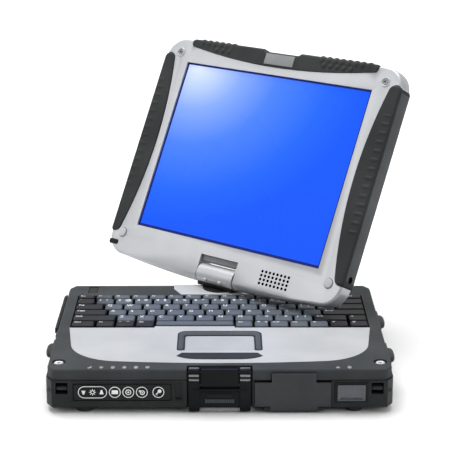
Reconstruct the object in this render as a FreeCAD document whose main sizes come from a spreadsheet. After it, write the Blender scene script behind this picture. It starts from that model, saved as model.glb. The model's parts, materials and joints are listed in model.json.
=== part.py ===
import FreeCAD, Part
import math
import operator
import os
import Sketcher
from FreeCAD import Placement, Rotation, Vector

# Rugged convertible notebook computer, open, with its display turned and leaning back.
# Millimetres. X runs to the right, Y to the back, Z up, and the desk is at Z = 0.
# The base is drawn about its own centre, the display about its tilt shaft.

dimensions = {
    # pose at rest
    "base_center_x": -11.14,
    "base_center_y": -73.75,
    "swivel_angle": 41,
    "tilt_back": 26.5,
    # base casing
    "base_width": 271,
    "base_depth": 216,
    "foot_height": 4.5,
    "seam_height": 22.5,
    "deck_rise": 8.5,
    "wall": 2.2,
    "floor_thickness": 2,
    "deck_thickness": 2.4,
    "corner_cut_x": 5,
    "corner_cut_y": 8,
    "seam_step": 1.2,
    "edge_round": 1,
    "fit_gap": 0.3,
    "running_gap": 0.05,
    "seat_gap": 0.1,
    # feet
    "foot_radius": 6.5,
    "foot_inset": 30.2,
    "front_foot_inset": 9.5,
    "rear_foot_inset": 16,
    # deck screws
    "deck_screw_inset": 9.3,
    "deck_screw_setback": 19.5,
    "deck_screw_head": 3.2,
    "deck_screw_head_height": 2,
    "deck_screw_shank": 1.5,
    "deck_screw_length": 14,
    "screw_recess_radius": 5.5,
    "screw_recess_depth": 3.2,
    "screw_pillar_radius": 6.6,
    "screw_boss_radius": 4.2,
    # rear deck pockets
    "deck_pocket_inset": 22.7,
    "deck_pocket_width": 8.4,
    "deck_pocket_length": 18,
    "deck_pocket_rear_gap": 5,
    "deck_pocket_depth": 1.2,
    # keyboard
    "well_side_margin": 10.5,
    "well_setback": 101,
    "well_rear_margin": 30.5,
    "function_row_depth": 10.5,
    "space_tongue": 3.4,
    "key_gap": 0.9,
    "key_inset": 1.3,
    "key_height": 4,
    "key_proud": 1,
    "key_travel": 2,
    "key_stem_radius": 1.8,
    "key_stem_overlap": 1,
    "tray_floor": 1,
    "tray_rim": 2.5,
    "tray_clearance": 0.4,
    # palm rest
    "palm_thickness": 1.2,
    "palm_gap": 1,
    "palm_side_inset": 5,
    "palm_side_setback": 58,
    "palm_corner_inset": 40,
    "palm_corner_setback": 21.2,
    "palm_corner_bulge": 8.45,
    "palm_front_bow": 4.7,
    # touchpad and its click bar
    "pad_frame_half_width": 34,
    "pad_frame_length": 45.5,
    "pad_frame_setback": 45.5,
    "pad_frame_leg": 4.5,
    "pad_frame_bar": 10,
    "pad_frame_corner": 6,
    "pad_frame_proud": 0.5,
    "pad_thickness": 0.8,
    "click_half_width": 34,
    "click_shoulder": 6.5,
    "click_setback": 32.5,
    "click_front_bow": 7,
    "click_split": 0.8,
    "click_depth": 4,
    "click_proud": 0.4,
    # status lights
    "light_length": 3,
    "light_width": 1.6,
    "light_pitch": 9,
    "left_light_inset": 34.5,
    "right_light_inset": 43.5,
    "light_setback": 6.5,
    # front button panel; shares are of the length of the panel
    "panel_side_margin": 21.1,
    "panel_latch_gap": 2.8,
    "panel_bottom": 10.4,
    "panel_top": 25.4,
    "panel_thickness": 1.5,
    "panel_recess": 1.2,
    "panel_slot_width": 4.4,
    "panel_slot_margin": 1.4,
    "button_z": 17.9,
    "button_share": 0.0535,
    "button_proud": 0.6,
    "button_depth": 5,
    "input_button_share": 0.385,
    "rotate_button_share": 0.507,
    "enter_button_share": 0.629,
    "security_button_share": 0.778,
    "rocker_share": 0.184,
    "rocker_length_share": 0.27,
    "rocker_height": 10.4,
    "rocker_pivot_radius": 1.2,
    # display latch on the front
    "latch_bay_half": 25.6,
    "latch_bay_depth": 11,
    "latch_post_inner": 14.9,
    "latch_post_depth": 9,
    "latch_leg_bottom": 1.2,
    "latch_proud": 0.8,
    "latch_rib_height": 1.8,
    "latch_rib_proud": 1,
    "latch_rib_z": 31.6,
    "latch_rib_pitch": 3.4,
    "latch_panel_top": 19.4,
    "latch_panel_setback": 1.6,
    "latch_slot_half": 9.6,
    "latch_slot_bottom": 13.4,
    "latch_slot_top": 16.4,
    "latch_slot_depth": 3,
    "latch_axis_z": 22.6,
    "latch_axis_inset": 2.6,
    "latch_knuckle": 2.3,
    "latch_pin_radius": 1,
    "latch_pin_grip": 6,
    "latch_flap_thickness": 3,
    "latch_flap_proud": 0.6,
    # battery and its front door
    "door_latch_gap": 1.7,
    "door_window_gap": 3.4,
    "door_bottom": 5.8,
    "door_top": 25.4,
    "door_neck_left_inset": 13.2,
    "door_neck_right_inset": 11.6,
    "door_neck_top": 32.8,
    "door_tab_overhang": 1.2,
    "door_proud": 1,
    "door_thickness": 2.9,
    "door_recess": 3.6,
    "door_axis_z": 3.6,
    "door_axis_inset": 1,
    "door_knuckle": 2.1,
    "door_pin_radius": 0.8,
    "door_lug_width": 4.7,
    "door_lug_half": 1.4,
    "door_lug_reach": 7,
    "battery_length": 128,
    "battery_side_gap": 2.4,
    "battery_height": 17,
    # infrared window
    "window_width": 25,
    "window_inset": 20.5,
    "window_bottom": 9.7,
    "window_top": 25.2,
    "window_proud": 0.9,
    "window_depth": 4.5,
    "window_bevel": 1.6,
    # strap bars
    "strap_inset": 12.9,
    "strap_width": 9.4,
    "strap_bottom": 16,
    "strap_top": 25.3,
    "strap_depth": 7.5,
    "strap_wall": 2,
    "strap_bar_radius": 1,
    "strap_bar_z": 22.8,
    "strap_bar_inset": 1.7,
    "strap_bar_grip": 0.8,
    # side covers and the sockets behind them
    "cover_bottom": 10,
    "cover_top": 32,
    "cover_proud": 0.6,
    "cover_axis_inset": 1.1,
    "cover_knuckle": 1.9,
    "cover_pin_radius": 0.6,
    "cover_pin_grip": 3,
    "cover_band_proud": 2.7,
    "cover_band_bottom": 27,
    "cover_tab_proud": 4.6,
    "cover_tab_bottom": 26,
    "cover_tab_margin": 5,
    "cover_tab_round": 3.6,
    "card_cover_setback": 92,
    "card_cover_rear_gap": 20,
    "jack_cover_setback": 44,
    "jack_cover_length": 38,
    "network_cover_setback": 112,
    "network_cover_length": 42,
    "serial_cover_setback": 30,
    "serial_cover_length": 43,
    "socket_depth": 14,
    "socket_shell": 2,
    "socket_wall_gap": 1.4,
    "socket_bottom": 16,
    "card_slot_length": 54,
    "card_slot_height": 5.4,
    "jack_socket_length": 13,
    "network_socket_length": 12,
    "network_socket_height": 8.4,
    "serial_socket_length": 16,
    # power inlet in the rear wall
    "inlet_inset": 39.5,
    "inlet_z": 16,
    "inlet_bore": 2.75,
    "inlet_bore_length": 11,
    "inlet_barrel": 4,
    "inlet_block_width": 13,
    "inlet_block_depth": 12,
    "inlet_block_top": 22,
    # boards and modules inside the base
    "board_side_gap": 23.5,
    "board_battery_gap": 5.7,
    "board_drive_gap": 6,
    "board_rear_gap": 18,
    "board_lift": 4,
    "board_thickness": 1.6,
    "standoff_radius": 3,
    "standoff_inset": 6,
    "processor_inset": 28,
    "processor_width": 33,
    "processor_height": 2.6,
    "spreader_length": 44,
    "spreader_width": 44,
    "spreader_thickness": 2.4,
    "memory_inset": 1,
    "memory_length": 67.6,
    "memory_width": 30,
    "memory_height": 3.8,
    "radio_length": 50.9,
    "radio_width": 29.9,
    "radio_height": 3.2,
    "drive_battery_gap": 16.7,
    "drive_setback": 16,
    "drive_width": 69.9,
    "drive_length": 100,
    "drive_height": 9.5,
    # swivel
    "hinge_setback": 10,
    "hinge_rise": 11,
    "plate_rear_half": 41,
    "plate_front_half": 34,
    "plate_straight": 11,
    "plate_gap": 0.9,
    "plate_thickness": 1,
    "turntable_radius": 15.5,
    "turntable_thickness": 1.1,
    "spindle_radius": 4,
    "swivel_boss_radius": 7,
    "swivel_boss_depth": 5,
    "ring_radius": 6.2,
    "ring_thickness": 2.2,
    "ring_gap": 0.2,
    "knuckle_radius": 9,
    "knuckle_half": 20.5,
    "pedestal_half": 12,
    "pedestal_depth": 13,
    "shaft_radius": 4,
    "shaft_half": 33,
    # display casing
    "display_top": 210,
    "display_bottom": 8.6,
    "bezel_depth": 8,
    "back_depth": 8.5,
    "bezel_plate": 1.7,
    "back_plate": 2,
    "display_wall": 2.4,
    "display_top_corner": 20,
    "display_bottom_corner": 19,
    "display_bow": 6,
    "bezel_round": 2.6,
    "back_round": 4,
    "notch_half": 21.7,
    "notch_top": 15.6,
    "notch_wall": 2.4,
    "screen_margin": 28.75,
    "screen_height": 160.8,
    "screen_bottom": 27.2,
    "glass_lap": 3,
    "glass_thickness": 1.3,
    "panel_lap": 4,
    "lcd_thickness": 5,
    # grips round the display
    "grip_side_proud": 0.8,
    "grip_front_proud": 1,
    "grip_back_setback": 0.4,
    "grip_bevel": 1.2,
    "grip_bottom": 17,
    "grip_heel_inset": 2.9,
    "grip_heel_bulge": 1.47,
    "grip_bottom_inner": 22.3,
    "grip_bottom_inset": 9.7,
    "grip_top_inset": 11.8,
    "grip_top": 189.9,
    "grip_tip_inset": 5,
    "grip_tip": 195.3,
    "grip_tip_bulge": 1.5,
    "grip_shoulder": 189.5,
    "grip_shoulder_bulge": 1.7,
    "grip_bulge": 10,
    "handle_inset": 28,
    "handle_taper": 2,
    "handle_end": 203.6,
    "handle_bow": 8.8,
    "handle_proud": 1,
    "catch_half": 18.5,
    "catch_mouth": 22,
    "catch_depth": 2.3,
    # display screws, bumpers and speaker
    "display_screw_inset": 17.3,
    "display_screw_z": 196.5,
    "display_screw_head": 2.8,
    "display_screw_proud": 0.5,
    "display_screw_length": 6,
    "bumper_inset": 14.5,
    "bumper_z": 17.2,
    "bumper_radius": 4,
    "bumper_proud": 1.4,
    "speaker_x": 65,
    "speaker_z": 8.2,
    "speaker_length": 36,
    "speaker_height": 14,
    "speaker_depth": 4,
    "speaker_hole_radius": 0.95,
    "speaker_columns": 8,
    "speaker_rows": 4,
    "speaker_pitch_x": 4.2,
    "speaker_pitch_z": 3.6,
    "inverter_inset": 60.5,
    "inverter_z": 14,
    "inverter_length": 70,
    "inverter_height": 11,
    "inverter_depth": 4,
}

# widths of the keys in each row, in shares of the row, from the front row to the rear one
key_rows = {
    "bottom_key_row": [1.25, 1, 1, 1, 4, 0.95, 0.8, 1, 1, 1, 1, 1],
    "lower_letter_row": [2.25] + [1] * 10 + [1.75, 1],
    "home_letter_row": [1.75] + [1] * 11 + [2.25],
    "upper_letter_row": [1.5] + [1] * 12 + [1.5],
    "number_key_row": [1] * 13 + [2],
    "function_key_row": [1] * 16,
}
space_key = key_rows["bottom_key_row"].index(max(key_rows["bottom_key_row"]))
left_lights = range(6)
right_lights = range(2)

doc = FreeCAD.newDocument("convertible_notebook")
sheet = doc.addObject("Spreadsheet::Sheet", "sizes")
for row, (alias, number) in enumerate(dimensions.items(), start=1):
    sheet.set("A%d" % row, alias)
    sheet.set("B%d" % row, str(number))
    sheet.setAlias("B%d" % row, alias)
doc.recompute()

operations = {"+": operator.add, "-": operator.sub, "*": operator.mul, "/": operator.truediv}


class Size:
    # a length that keeps its number together with the sheet expression it comes from
    def __init__(self, value, text):
        self.value = value
        self.text = text

    def __add__(self, other):
        return combine(self, "+", other)

    def __radd__(self, other):
        return combine(other, "+", self)

    def __sub__(self, other):
        return combine(self, "-", other)

    def __rsub__(self, other):
        return combine(other, "-", self)

    def __mul__(self, other):
        return combine(self, "*", other)

    def __rmul__(self, other):
        return combine(other, "*", self)

    def __truediv__(self, other):
        return combine(self, "/", other)

    def __neg__(self):
        return combine(0, "-", self)


def as_size(number):
    return number if isinstance(number, Size) else Size(number, repr(number))


def combine(first, sign, second):
    first = as_size(first)
    second = as_size(second)
    value = operations[sign](first.value, second.value)
    return Size(value, "(%s %s %s)" % (first.text, sign, second.text))


class SheetSizes:
    # every cell of the sheet by its alias
    def __getattr__(self, alias):
        return Size(float(sheet.get(alias)), "sizes." + alias)


dim = SheetSizes()
touching = 0.001
pieces = []
carvings = {}


def bind(feature, name, size):
    feature.setExpression(name, as_size(size).text)


# levels and edges that many pieces share
half_width = dim.base_width / 2
half_depth = dim.base_depth / 2
front = -half_depth
underside = dim.foot_height
floor = underside + dim.floor_thickness
seam = underside + dim.seam_height
deck = seam + dim.deck_rise
deck_under = deck - dim.deck_thickness
inner_front = front + dim.wall
hinge_y = half_depth - dim.hinge_setback
hinge_z = deck + dim.hinge_rise

base_frame = Placement(Vector(dim.base_center_x.value, dim.base_center_y.value, 0), Rotation())
swivel_frame = base_frame.multiply(
    Placement(Vector(0, hinge_y.value, 0), Rotation(Vector(0, 0, 1), -dim.swivel_angle.value)))
display_frame = swivel_frame.multiply(
    Placement(Vector(0, 0, hinge_z.value), Rotation(Vector(1, 0, 0), -dim.tilt_back.value)))


def piece(label, frame):
    body = doc.addObject("PartDesign::Body", label)
    body.Label = label
    body.Placement = frame
    pieces.append(body)
    return body


def carved_piece(label, frame):
    # a blank that is drawn first, and whose many plain openings are then cut in one go
    blank = doc.addObject("PartDesign::Body", label + "_blank")
    result = doc.addObject("Part::Cut", label)
    result.Label = label
    result.Base = blank
    result.Placement = frame
    carvings[blank.Name] = (result, [])
    pieces.append(result)
    return blank


def finish_carving(blank):
    result, tools = carvings[blank.Name]
    result.Tool = fused(result.Label + "_openings", tools)


def place_block(feature, x, y, z):
    for side, axis, (low, high) in zip(("Length", "Width", "Height"), "xyz", (x, y, z)):
        bind(feature, side, high - low)
        bind(feature, "Placement.Base." + axis, low)
    return feature


def block(body, name, x, y, z, kind="Additive"):
    return place_block(body.newObject("PartDesign::%sBox" % kind, name), x, y, z)


def cut_block(body, name, x, y, z):
    if body.Name not in carvings:
        return block(body, name, x, y, z, "Subtractive")
    tool = place_block(doc.addObject("Part::Box", name), x, y, z)
    carvings[body.Name][1].append(tool)
    return tool


rod_turns = {
    "x": Rotation(Vector(0, 1, 0), 90),
    "y": Rotation(Vector(1, 0, 0), -90),
    "z": Rotation(),
}


def place_rod(feature, axis, center, radius, span):
    feature.Placement = Placement(Vector(), rod_turns[axis])
    bind(feature, "Radius", radius)
    bind(feature, "Height", span[1] - span[0])
    across = [other for other in "xyz" if other != axis]
    for other, size in zip(across, center):
        bind(feature, "Placement.Base." + other, size)
    bind(feature, "Placement.Base." + axis, span[0])
    return feature


def rod(body, name, axis, center, radius, span, kind="Additive"):
    feature = body.newObject("PartDesign::%sCylinder" % kind, name)
    return place_rod(feature, axis, center, radius, span)


def cut_rod(body, name, axis, center, radius, span):
    if body.Name not in carvings:
        return rod(body, name, axis, center, radius, span, "Subtractive")
    tool = place_rod(doc.addObject("Part::Cylinder", name), axis, center, radius, span)
    carvings[body.Name][1].append(tool)
    return tool


def blank_sketch(body, name, plane, level):
    sketch = body.newObject("Sketcher::SketchObject", name)
    origin_plane = [item for item in body.Origin.OriginFeatures if item.Role == plane][0]
    sketch.AttachmentSupport = [(origin_plane, "")]
    sketch.MapMode = "FlatFace"
    bind(sketch, "AttachmentOffset.Base.z", level)
    return sketch


def hold(sketch, constraint, size):
    index = sketch.addConstraint(constraint)
    sketch.setExpression("Constraints[%d]" % index, size.text)


def hold_point(sketch, edge, end, point):
    # a point on an axis is tied to that axis, any other is measured from the origin
    for size, kind, axis_line in zip(point, ("DistanceX", "DistanceY"), (-2, -1)):
        size = as_size(size)
        if size.value == 0:
            sketch.addConstraint(Sketcher.Constraint("PointOnObject", edge, end, axis_line))
        else:
            hold(sketch, Sketcher.Constraint(kind, -1, 1, edge, end, size.value), size)


def outline(body, name, plane, level, corners):
    # corners run counter-clockwise; a third entry is how far the edge to the next corner bows out
    sketch = blank_sketch(body, name, plane, level)
    ends = []
    for corner, after in zip(corners, corners[1:] + corners[:1]):
        start = Vector(as_size(corner[0]).value, as_size(corner[1]).value, 0)
        finish = Vector(as_size(after[0]).value, as_size(after[1]).value, 0)
        if len(corner) == 2:
            edge = sketch.addGeometry(Part.LineSegment(start, finish), False)
            ends.append((edge, 1, 2))
            continue
        bow = corner[2]
        chord = finish - start
        outward = Vector(chord.y, -chord.x, 0).normalize()
        middle = (start + finish) / 2 + outward * bow.value
        if bow.value > 0:
            edge = sketch.addGeometry(Part.Arc(start, middle, finish), False)
            ends.append((edge, 1, 2))
        else:
            edge = sketch.addGeometry(Part.Arc(finish, middle, start), False)
            ends.append((edge, 2, 1))
        run = as_size(after[0]) - corner[0]
        rise = as_size(after[1]) - corner[1]
        flat = bow if bow.value > 0 else -bow
        radius = (run * run + rise * rise) / (8 * flat) + flat / 2
        hold(sketch, Sketcher.Constraint("Radius", edge, radius.value), radius)
    for (edge, first, last), (following, start, stop) in zip(ends, ends[1:] + ends[:1]):
        sketch.addConstraint(Sketcher.Constraint("Coincident", edge, last, following, start))
    for (edge, first, last), corner in zip(ends, corners):
        hold_point(sketch, edge, first, corner[:2])
    return sketch


def pad(body, name, sketch, length, reverse=False):
    feature = body.newObject("PartDesign::Pad", name)
    feature.Profile = sketch
    feature.Reversed = reverse
    bind(feature, "Length", length)
    return feature


def pocket(body, name, sketch, length, reverse=False):
    doc.recompute()
    before = body.Shape.Volume
    feature = body.newObject("PartDesign::Pocket", name)
    feature.Profile = sketch
    feature.Reversed = reverse
    bind(feature, "Length", length)
    doc.recompute()
    if body.Shape.Volume >= before:
        raise RuntimeError("%s on %s cuts nothing" % (name, body.Label))
    return feature


def dress(body, kind, name, size, choose):
    # rounds or bevels the edges that choose picks
    doc.recompute()
    tip = body.Tip
    names = ["Edge%d" % (index + 1) for index, edge in enumerate(tip.Shape.Edges) if choose(edge)]
    feature = body.newObject("PartDesign::" + kind, name)
    feature.Base = (tip, names)
    bind(feature, "Radius" if kind == "Fillet" else "Size", size)
    return feature


def edge_at(axis, size):
    # picks the edges that lie wholly in the plane where this coordinate has this value
    level = as_size(size).value

    def choose(edge):
        box = edge.BoundBox
        low = getattr(box, axis.upper() + "Min")
        high = getattr(box, axis.upper() + "Max")
        return abs(low - level) < touching and abs(high - level) < touching

    return choose


def upright(edge):
    box = edge.BoundBox
    return box.XLength < touching and box.YLength < touching


def on_side(side, near, far):
    # a span measured outwards from the middle, on the right for +1 and on the left for -1
    return (near, far) if side > 0 else (-far, -near)


def mirrored(corners):
    # the same outline left of the middle, still counter-clockwise, each bow kept on its own edge
    bows = [corner[2:] for corner in corners]
    turned = bows[-2::-1] + bows[-1:]
    return [(-corner[0], corner[1]) + bow for corner, bow in zip(reversed(corners), turned)]


def case_outline(inset):
    side = half_width - inset
    end = half_depth - inset
    cut_x = dim.corner_cut_x
    cut_y = dim.corner_cut_y
    return [(cut_x - side, -end), (side - cut_x, -end), (side, cut_y - end), (side, end - cut_y),
            (side - cut_x, end), (cut_x - side, end), (-side, end - cut_y), (-side, cut_y - end)]


# positions that several base pieces share
panel_left = dim.panel_side_margin - half_width
panel_right = -dim.latch_bay_half - dim.panel_latch_gap
panel_length = panel_right - panel_left
button_radius = panel_length * dim.button_share
button_places = {
    "input_panel_button": panel_left + panel_length * dim.input_button_share,
    "rotate_button": panel_left + panel_length * dim.rotate_button_share,
    "enter_button": panel_left + panel_length * dim.enter_button_share,
    "security_button": panel_left + panel_length * dim.security_button_share,
}
rocker_x = panel_left + panel_length * dim.rocker_share
rocker_radius = dim.rocker_height / 2
rocker_straight = panel_length * dim.rocker_length_share / 2 - rocker_radius
window_right = half_width - dim.window_inset
window_left = window_right - dim.window_width
door_left = dim.latch_bay_half + dim.door_latch_gap
door_right = window_left - dim.door_window_gap
door_neck = (door_left + dim.door_neck_left_inset, door_right - dim.door_neck_right_inset)
door_tab = (door_neck[0] - dim.door_tab_overhang, door_neck[1] + dim.door_tab_overhang)
battery_left = door_left + dim.battery_side_gap
strap_x = half_width - dim.strap_inset
deck_screw_x = half_width - dim.deck_screw_inset
deck_screw_y = front + dim.deck_screw_setback
inlet_x = dim.inlet_inset - half_width
drive_front = front + dim.drive_setback
drive_right = battery_left - dim.drive_battery_gap
board_left = dim.board_side_gap - half_width
board_right = battery_left - dim.board_battery_gap
board_front = drive_front + dim.drive_length + dim.board_drive_gap
board_rear = half_depth - dim.board_rear_gap
jack_front = front + dim.jack_cover_setback
network_front = front + dim.network_cover_setback
serial_front = front + dim.serial_cover_setback
covers = {
    "card_slot_cover": (-1, front + dim.card_cover_setback, half_depth - dim.card_cover_rear_gap, "band"),
    "jack_cover": (-1, jack_front, jack_front + dim.jack_cover_length, "tab"),
    "network_cover": (1, network_front, network_front + dim.network_cover_length, "tab"),
    "serial_cover": (1, serial_front, serial_front + dim.serial_cover_length, "tab"),
}
sockets = {
    "card_slot_cover": (dim.card_slot_length, dim.card_slot_height),
    "jack_cover": (dim.jack_socket_length, dim.card_slot_height),
    "network_cover": (dim.network_socket_length, dim.network_socket_height),
    "serial_cover": (dim.serial_socket_length, dim.network_socket_height),
}
cover_axis_x = half_width - dim.cover_axis_inset
cover_axis_z = dim.cover_bottom + dim.cover_knuckle
door_axis_y = front + dim.door_axis_inset
latch_axis_y = front + dim.latch_axis_inset
latch_bay_back = front + dim.latch_bay_depth
inner_rear = half_depth - dim.wall
cut_room = dim.wall


def rocker_shape(body, name, radius, half_length, depth, maker_block, maker_rod):
    # a pill: a bar with a round at each end
    low = dim.button_z - radius
    high = dim.button_z + radius
    maker_block(body, name, (rocker_x - half_length, rocker_x + half_length), depth, (low, high))
    for side in (-1, 1):
        center = (rocker_x + side * half_length, dim.button_z)
        maker_rod(body, name + "_end", "y", center, radius, depth)


def cut_button_holes(body, depth):
    for name, x in button_places.items():
        cut_rod(body, name + "_hole", "y", (x, dim.button_z), button_radius + dim.fit_gap, depth)
    rocker_shape(body, "rocker_hole", rocker_radius + dim.fit_gap, rocker_straight, depth,
                 cut_block, cut_rod)


def cut_cover_openings(body):
    for name, (side, near, far, grip) in covers.items():
        cut_block(body, name + "_opening",
                  on_side(side, half_width - dim.wall - dim.seam_step - cut_room, half_width + cut_room),
                  (near - dim.fit_gap, far + dim.fit_gap),
                  (dim.cover_bottom - dim.fit_gap, dim.cover_top + dim.fit_gap))


def make_bottom_case():
    body = carved_piece("bottom_case", base_frame)
    pad(body, "tub", outline(body, "tub_outline", "XY_Plane", underside, case_outline(0)),
        dim.seam_height)
    dress(body, "Chamfer", "bottom_edge", dim.edge_round, edge_at("z", underside))
    hollow = outline(body, "hollow_outline", "XY_Plane", seam, case_outline(dim.wall))
    pocket(body, "hollow", hollow, dim.seam_height - dim.floor_thickness)
    for side in (-1, 1):
        # screw bosses and the closed pockets for the strap bars
        boss = (side * deck_screw_x, deck_screw_y)
        rod(body, "screw_boss", "z", boss, dim.screw_boss_radius, (floor, seam))
        cut_rod(body, "screw_hole", "z", boss, dim.deck_screw_shank + dim.running_gap,
                (deck - dim.screw_recess_depth - dim.deck_screw_length, seam))
        half = dim.strap_width / 2
        block(body, "strap_pocket",
              on_side(side, strap_x - half - dim.strap_wall, strap_x + half + dim.strap_wall),
              (inner_front, front + dim.strap_depth + dim.strap_wall),
              (floor, seam))
        cut_block(body, "strap_recess", on_side(side, strap_x - half, strap_x + half),
                  (front - cut_room, front + dim.strap_depth), (dim.strap_bottom, dim.strap_top))
        cut_rod(body, "strap_bar_seat", "x",
                (front + dim.strap_bar_inset, dim.strap_bar_z), dim.strap_bar_radius + dim.running_gap,
                on_side(side, strap_x - half - dim.strap_bar_grip,
                        strap_x + half + dim.strap_bar_grip))
    for x in (board_left + dim.standoff_inset, board_right - dim.standoff_inset):
        for y in (board_front + dim.standoff_inset, board_rear - dim.standoff_inset):
            rod(body, "standoff", "z", (x, y), dim.standoff_radius, (floor, floor + dim.board_lift))
    cut_block(body, "latch_bay", (-dim.latch_bay_half, dim.latch_bay_half),
              (front - cut_room, latch_bay_back), (underside - cut_room, seam + cut_room))
    block(body, "door_opening", (door_left - dim.fit_gap, door_right + dim.fit_gap),
          (front - cut_room, front + dim.door_recess), (underside - cut_room, seam + cut_room),
          "Subtractive")
    for lug in ((door_tab[0] - dim.fit_gap - dim.door_lug_width, door_tab[0] - dim.fit_gap),
                (door_tab[1] + dim.fit_gap,
                 door_tab[1] + dim.fit_gap + dim.door_lug_width)):
        block(body, "door_lug", lug, (door_axis_y - dim.door_lug_half, front + dim.door_lug_reach),
              (dim.door_axis_z - dim.door_lug_half, dim.door_axis_z + dim.door_lug_half))
        cut_rod(body, "door_lug_bore", "x", (door_axis_y, dim.door_axis_z),
                dim.door_pin_radius + dim.running_gap, lug)
    cut_block(body, "window_opening", (window_left, window_right),
              (front - cut_room, inner_front + cut_room), (dim.window_bottom, dim.window_top))
    cut_block(body, "panel_recess", (panel_left - dim.seat_gap, panel_right + dim.seat_gap),
              (front - cut_room, front + dim.panel_recess),
              (dim.panel_bottom - dim.seat_gap, dim.panel_top + dim.seat_gap))
    cut_button_holes(body, (front - cut_room, inner_front + cut_room))
    cut_cover_openings(body)
    for name, (side, near, far, grip) in covers.items():
        cut_rod(body, name + "_pin_bore", "y", (side * cover_axis_x, cover_axis_z),
                dim.cover_pin_radius + dim.running_gap,
                (near - dim.fit_gap - dim.cover_pin_grip, far + dim.fit_gap + dim.cover_pin_grip))
    cut_rod(body, "inlet_hole", "y", (inlet_x, dim.inlet_z), dim.inlet_barrel + dim.seat_gap,
            (inner_rear - cut_room, half_depth + cut_room))
    finish_carving(body)


def well_outline(grow):
    # keyboard well with the tongue of the palm rest reaching in under the space bar
    side = well_half + grow
    near = well_front - grow
    far = well_rear + grow
    tongue = near + dim.space_tongue
    return [(-side, near), (space_left - grow, near), (space_left - grow, tongue),
            (space_right + grow, tongue), (space_right + grow, near), (side, near), (side, far),
            (-side, far)]


well_half = half_width - dim.well_side_margin
well_front = front + dim.well_setback
well_rear = half_depth - dim.well_rear_margin
letter_rows = len(key_rows) - 1
key_row_depth = (well_rear - well_front - dim.function_row_depth) / letter_rows


def key_edges(label):
    # left edge and right edge of each key place in a row
    shares = key_rows[label]
    unit = well_half * 2 / sum(shares)
    return [(unit * sum(shares[:index]) - well_half, unit * sum(shares[:index + 1]) - well_half)
            for index in range(len(shares))]


space_left, space_right = key_edges("bottom_key_row")[space_key]


def palm_outline(grow):
    side = well_half + grow
    rear = well_front - dim.palm_gap + grow
    tongue = rear + dim.space_tongue
    waist = side - dim.palm_side_inset
    waist_y = front + dim.palm_side_setback
    corner = well_half - dim.palm_corner_inset
    corner_y = front + dim.palm_corner_setback - grow
    return [(-side, rear), (-waist, waist_y, dim.palm_corner_bulge),
            (-corner, corner_y, dim.palm_front_bow), (corner, corner_y, dim.palm_corner_bulge),
            (waist, waist_y), (side, rear),
            (space_right + grow, rear), (space_right + grow, tongue),
            (space_left - grow, tongue), (space_left - grow, rear)]


def click_outline(side, grow):
    # one half of the lens-shaped bar: straight at the back, bowed at the front, pointed outside
    inner = dim.click_split / 2 - grow
    outer = dim.click_half_width + grow
    tip = front + dim.click_setback
    rear = tip + dim.click_shoulder + grow
    # half of a shallow arc bows a quarter as far as the whole
    bow = dim.click_front_bow / 4
    corners = [(inner, tip - dim.click_front_bow - grow, bow), (outer, tip),
               (outer - dim.click_shoulder, rear), (inner, rear)]
    return corners if side > 0 else mirrored(corners)


def light_places():
    left = [dim.left_light_inset - half_width + place * dim.light_pitch for place in left_lights]
    right = [half_width - dim.right_light_inset + place * dim.light_pitch for place in right_lights]
    return left + right


light_y = front + dim.light_setback
pad_frame_span = (front + dim.pad_frame_setback, front + dim.pad_frame_setback + dim.pad_frame_length)


def make_top_case():
    body = carved_piece("top_case", base_frame)
    pad(body, "deck", outline(body, "deck_outline", "XY_Plane", seam, case_outline(dim.seam_step)),
        dim.deck_rise)
    dress(body, "Chamfer", "deck_edge", dim.edge_round, edge_at("z", deck))
    hollow = outline(body, "hollow_outline", "XY_Plane", seam, case_outline(dim.seam_step + dim.wall))
    pocket(body, "hollow", hollow, dim.deck_rise - dim.deck_thickness, reverse=True)
    for side in (-1, 1):
        place = (side * deck_screw_x, deck_screw_y)
        rod(body, "screw_pillar", "z", place, dim.screw_pillar_radius, (seam, deck_under))
        cut_rod(body, "screw_recess", "z", place, dim.screw_recess_radius,
                (deck - dim.screw_recess_depth, deck + cut_room))
        cut_rod(body, "screw_hole", "z", place, dim.deck_screw_shank + dim.running_gap, (seam, deck))
        half = dim.deck_pocket_width / 2
        pocket_x = half_width - dim.deck_pocket_inset
        pocket_rear = half_depth - dim.deck_pocket_rear_gap
        cut_block(body, "deck_pocket", on_side(side, pocket_x - half, pocket_x + half),
                  (pocket_rear - dim.deck_pocket_length, pocket_rear),
                  (deck - dim.deck_pocket_depth, deck + cut_room))
    rod(body, "swivel_boss", "z", (0, hinge_y), dim.swivel_boss_radius,
        (deck_under - dim.swivel_boss_depth, deck_under))
    cut_rod(body, "swivel_bore", "z", (0, hinge_y), dim.spindle_radius + dim.running_gap,
            (deck_under - dim.swivel_boss_depth, deck))
    pocket(body, "well", outline(body, "well_outline", "XY_Plane", deck, well_outline(0)),
           dim.deck_thickness)
    palm = outline(body, "palm_recess_outline", "XY_Plane", deck, palm_outline(dim.seat_gap))
    pocket(body, "palm_recess", palm, dim.palm_thickness)
    for side in (-1, 1):
        shape = outline(body, "click_outline", "XY_Plane", deck, click_outline(side, dim.fit_gap))
        pocket(body, "click_opening", shape, dim.deck_thickness)
    for x in light_places():
        half = dim.light_length / 2
        cut_block(body, "light_hole", (x - half, x + half),
                  (light_y - dim.light_width / 2, light_y + dim.light_width / 2),
                  (deck_under, deck))
    cut_block(body, "latch_bay", (-dim.latch_bay_half, dim.latch_bay_half),
              (front - cut_room, latch_bay_back), (seam - cut_room, deck + cut_room))
    cut_block(body, "door_neck_opening",
              (door_neck[0] - dim.fit_gap, door_neck[1] + dim.fit_gap),
              (front - cut_room, front + dim.door_recess),
              (seam - cut_room, dim.door_neck_top + dim.fit_gap))
    cut_cover_openings(body)
    finish_carving(body)


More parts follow.
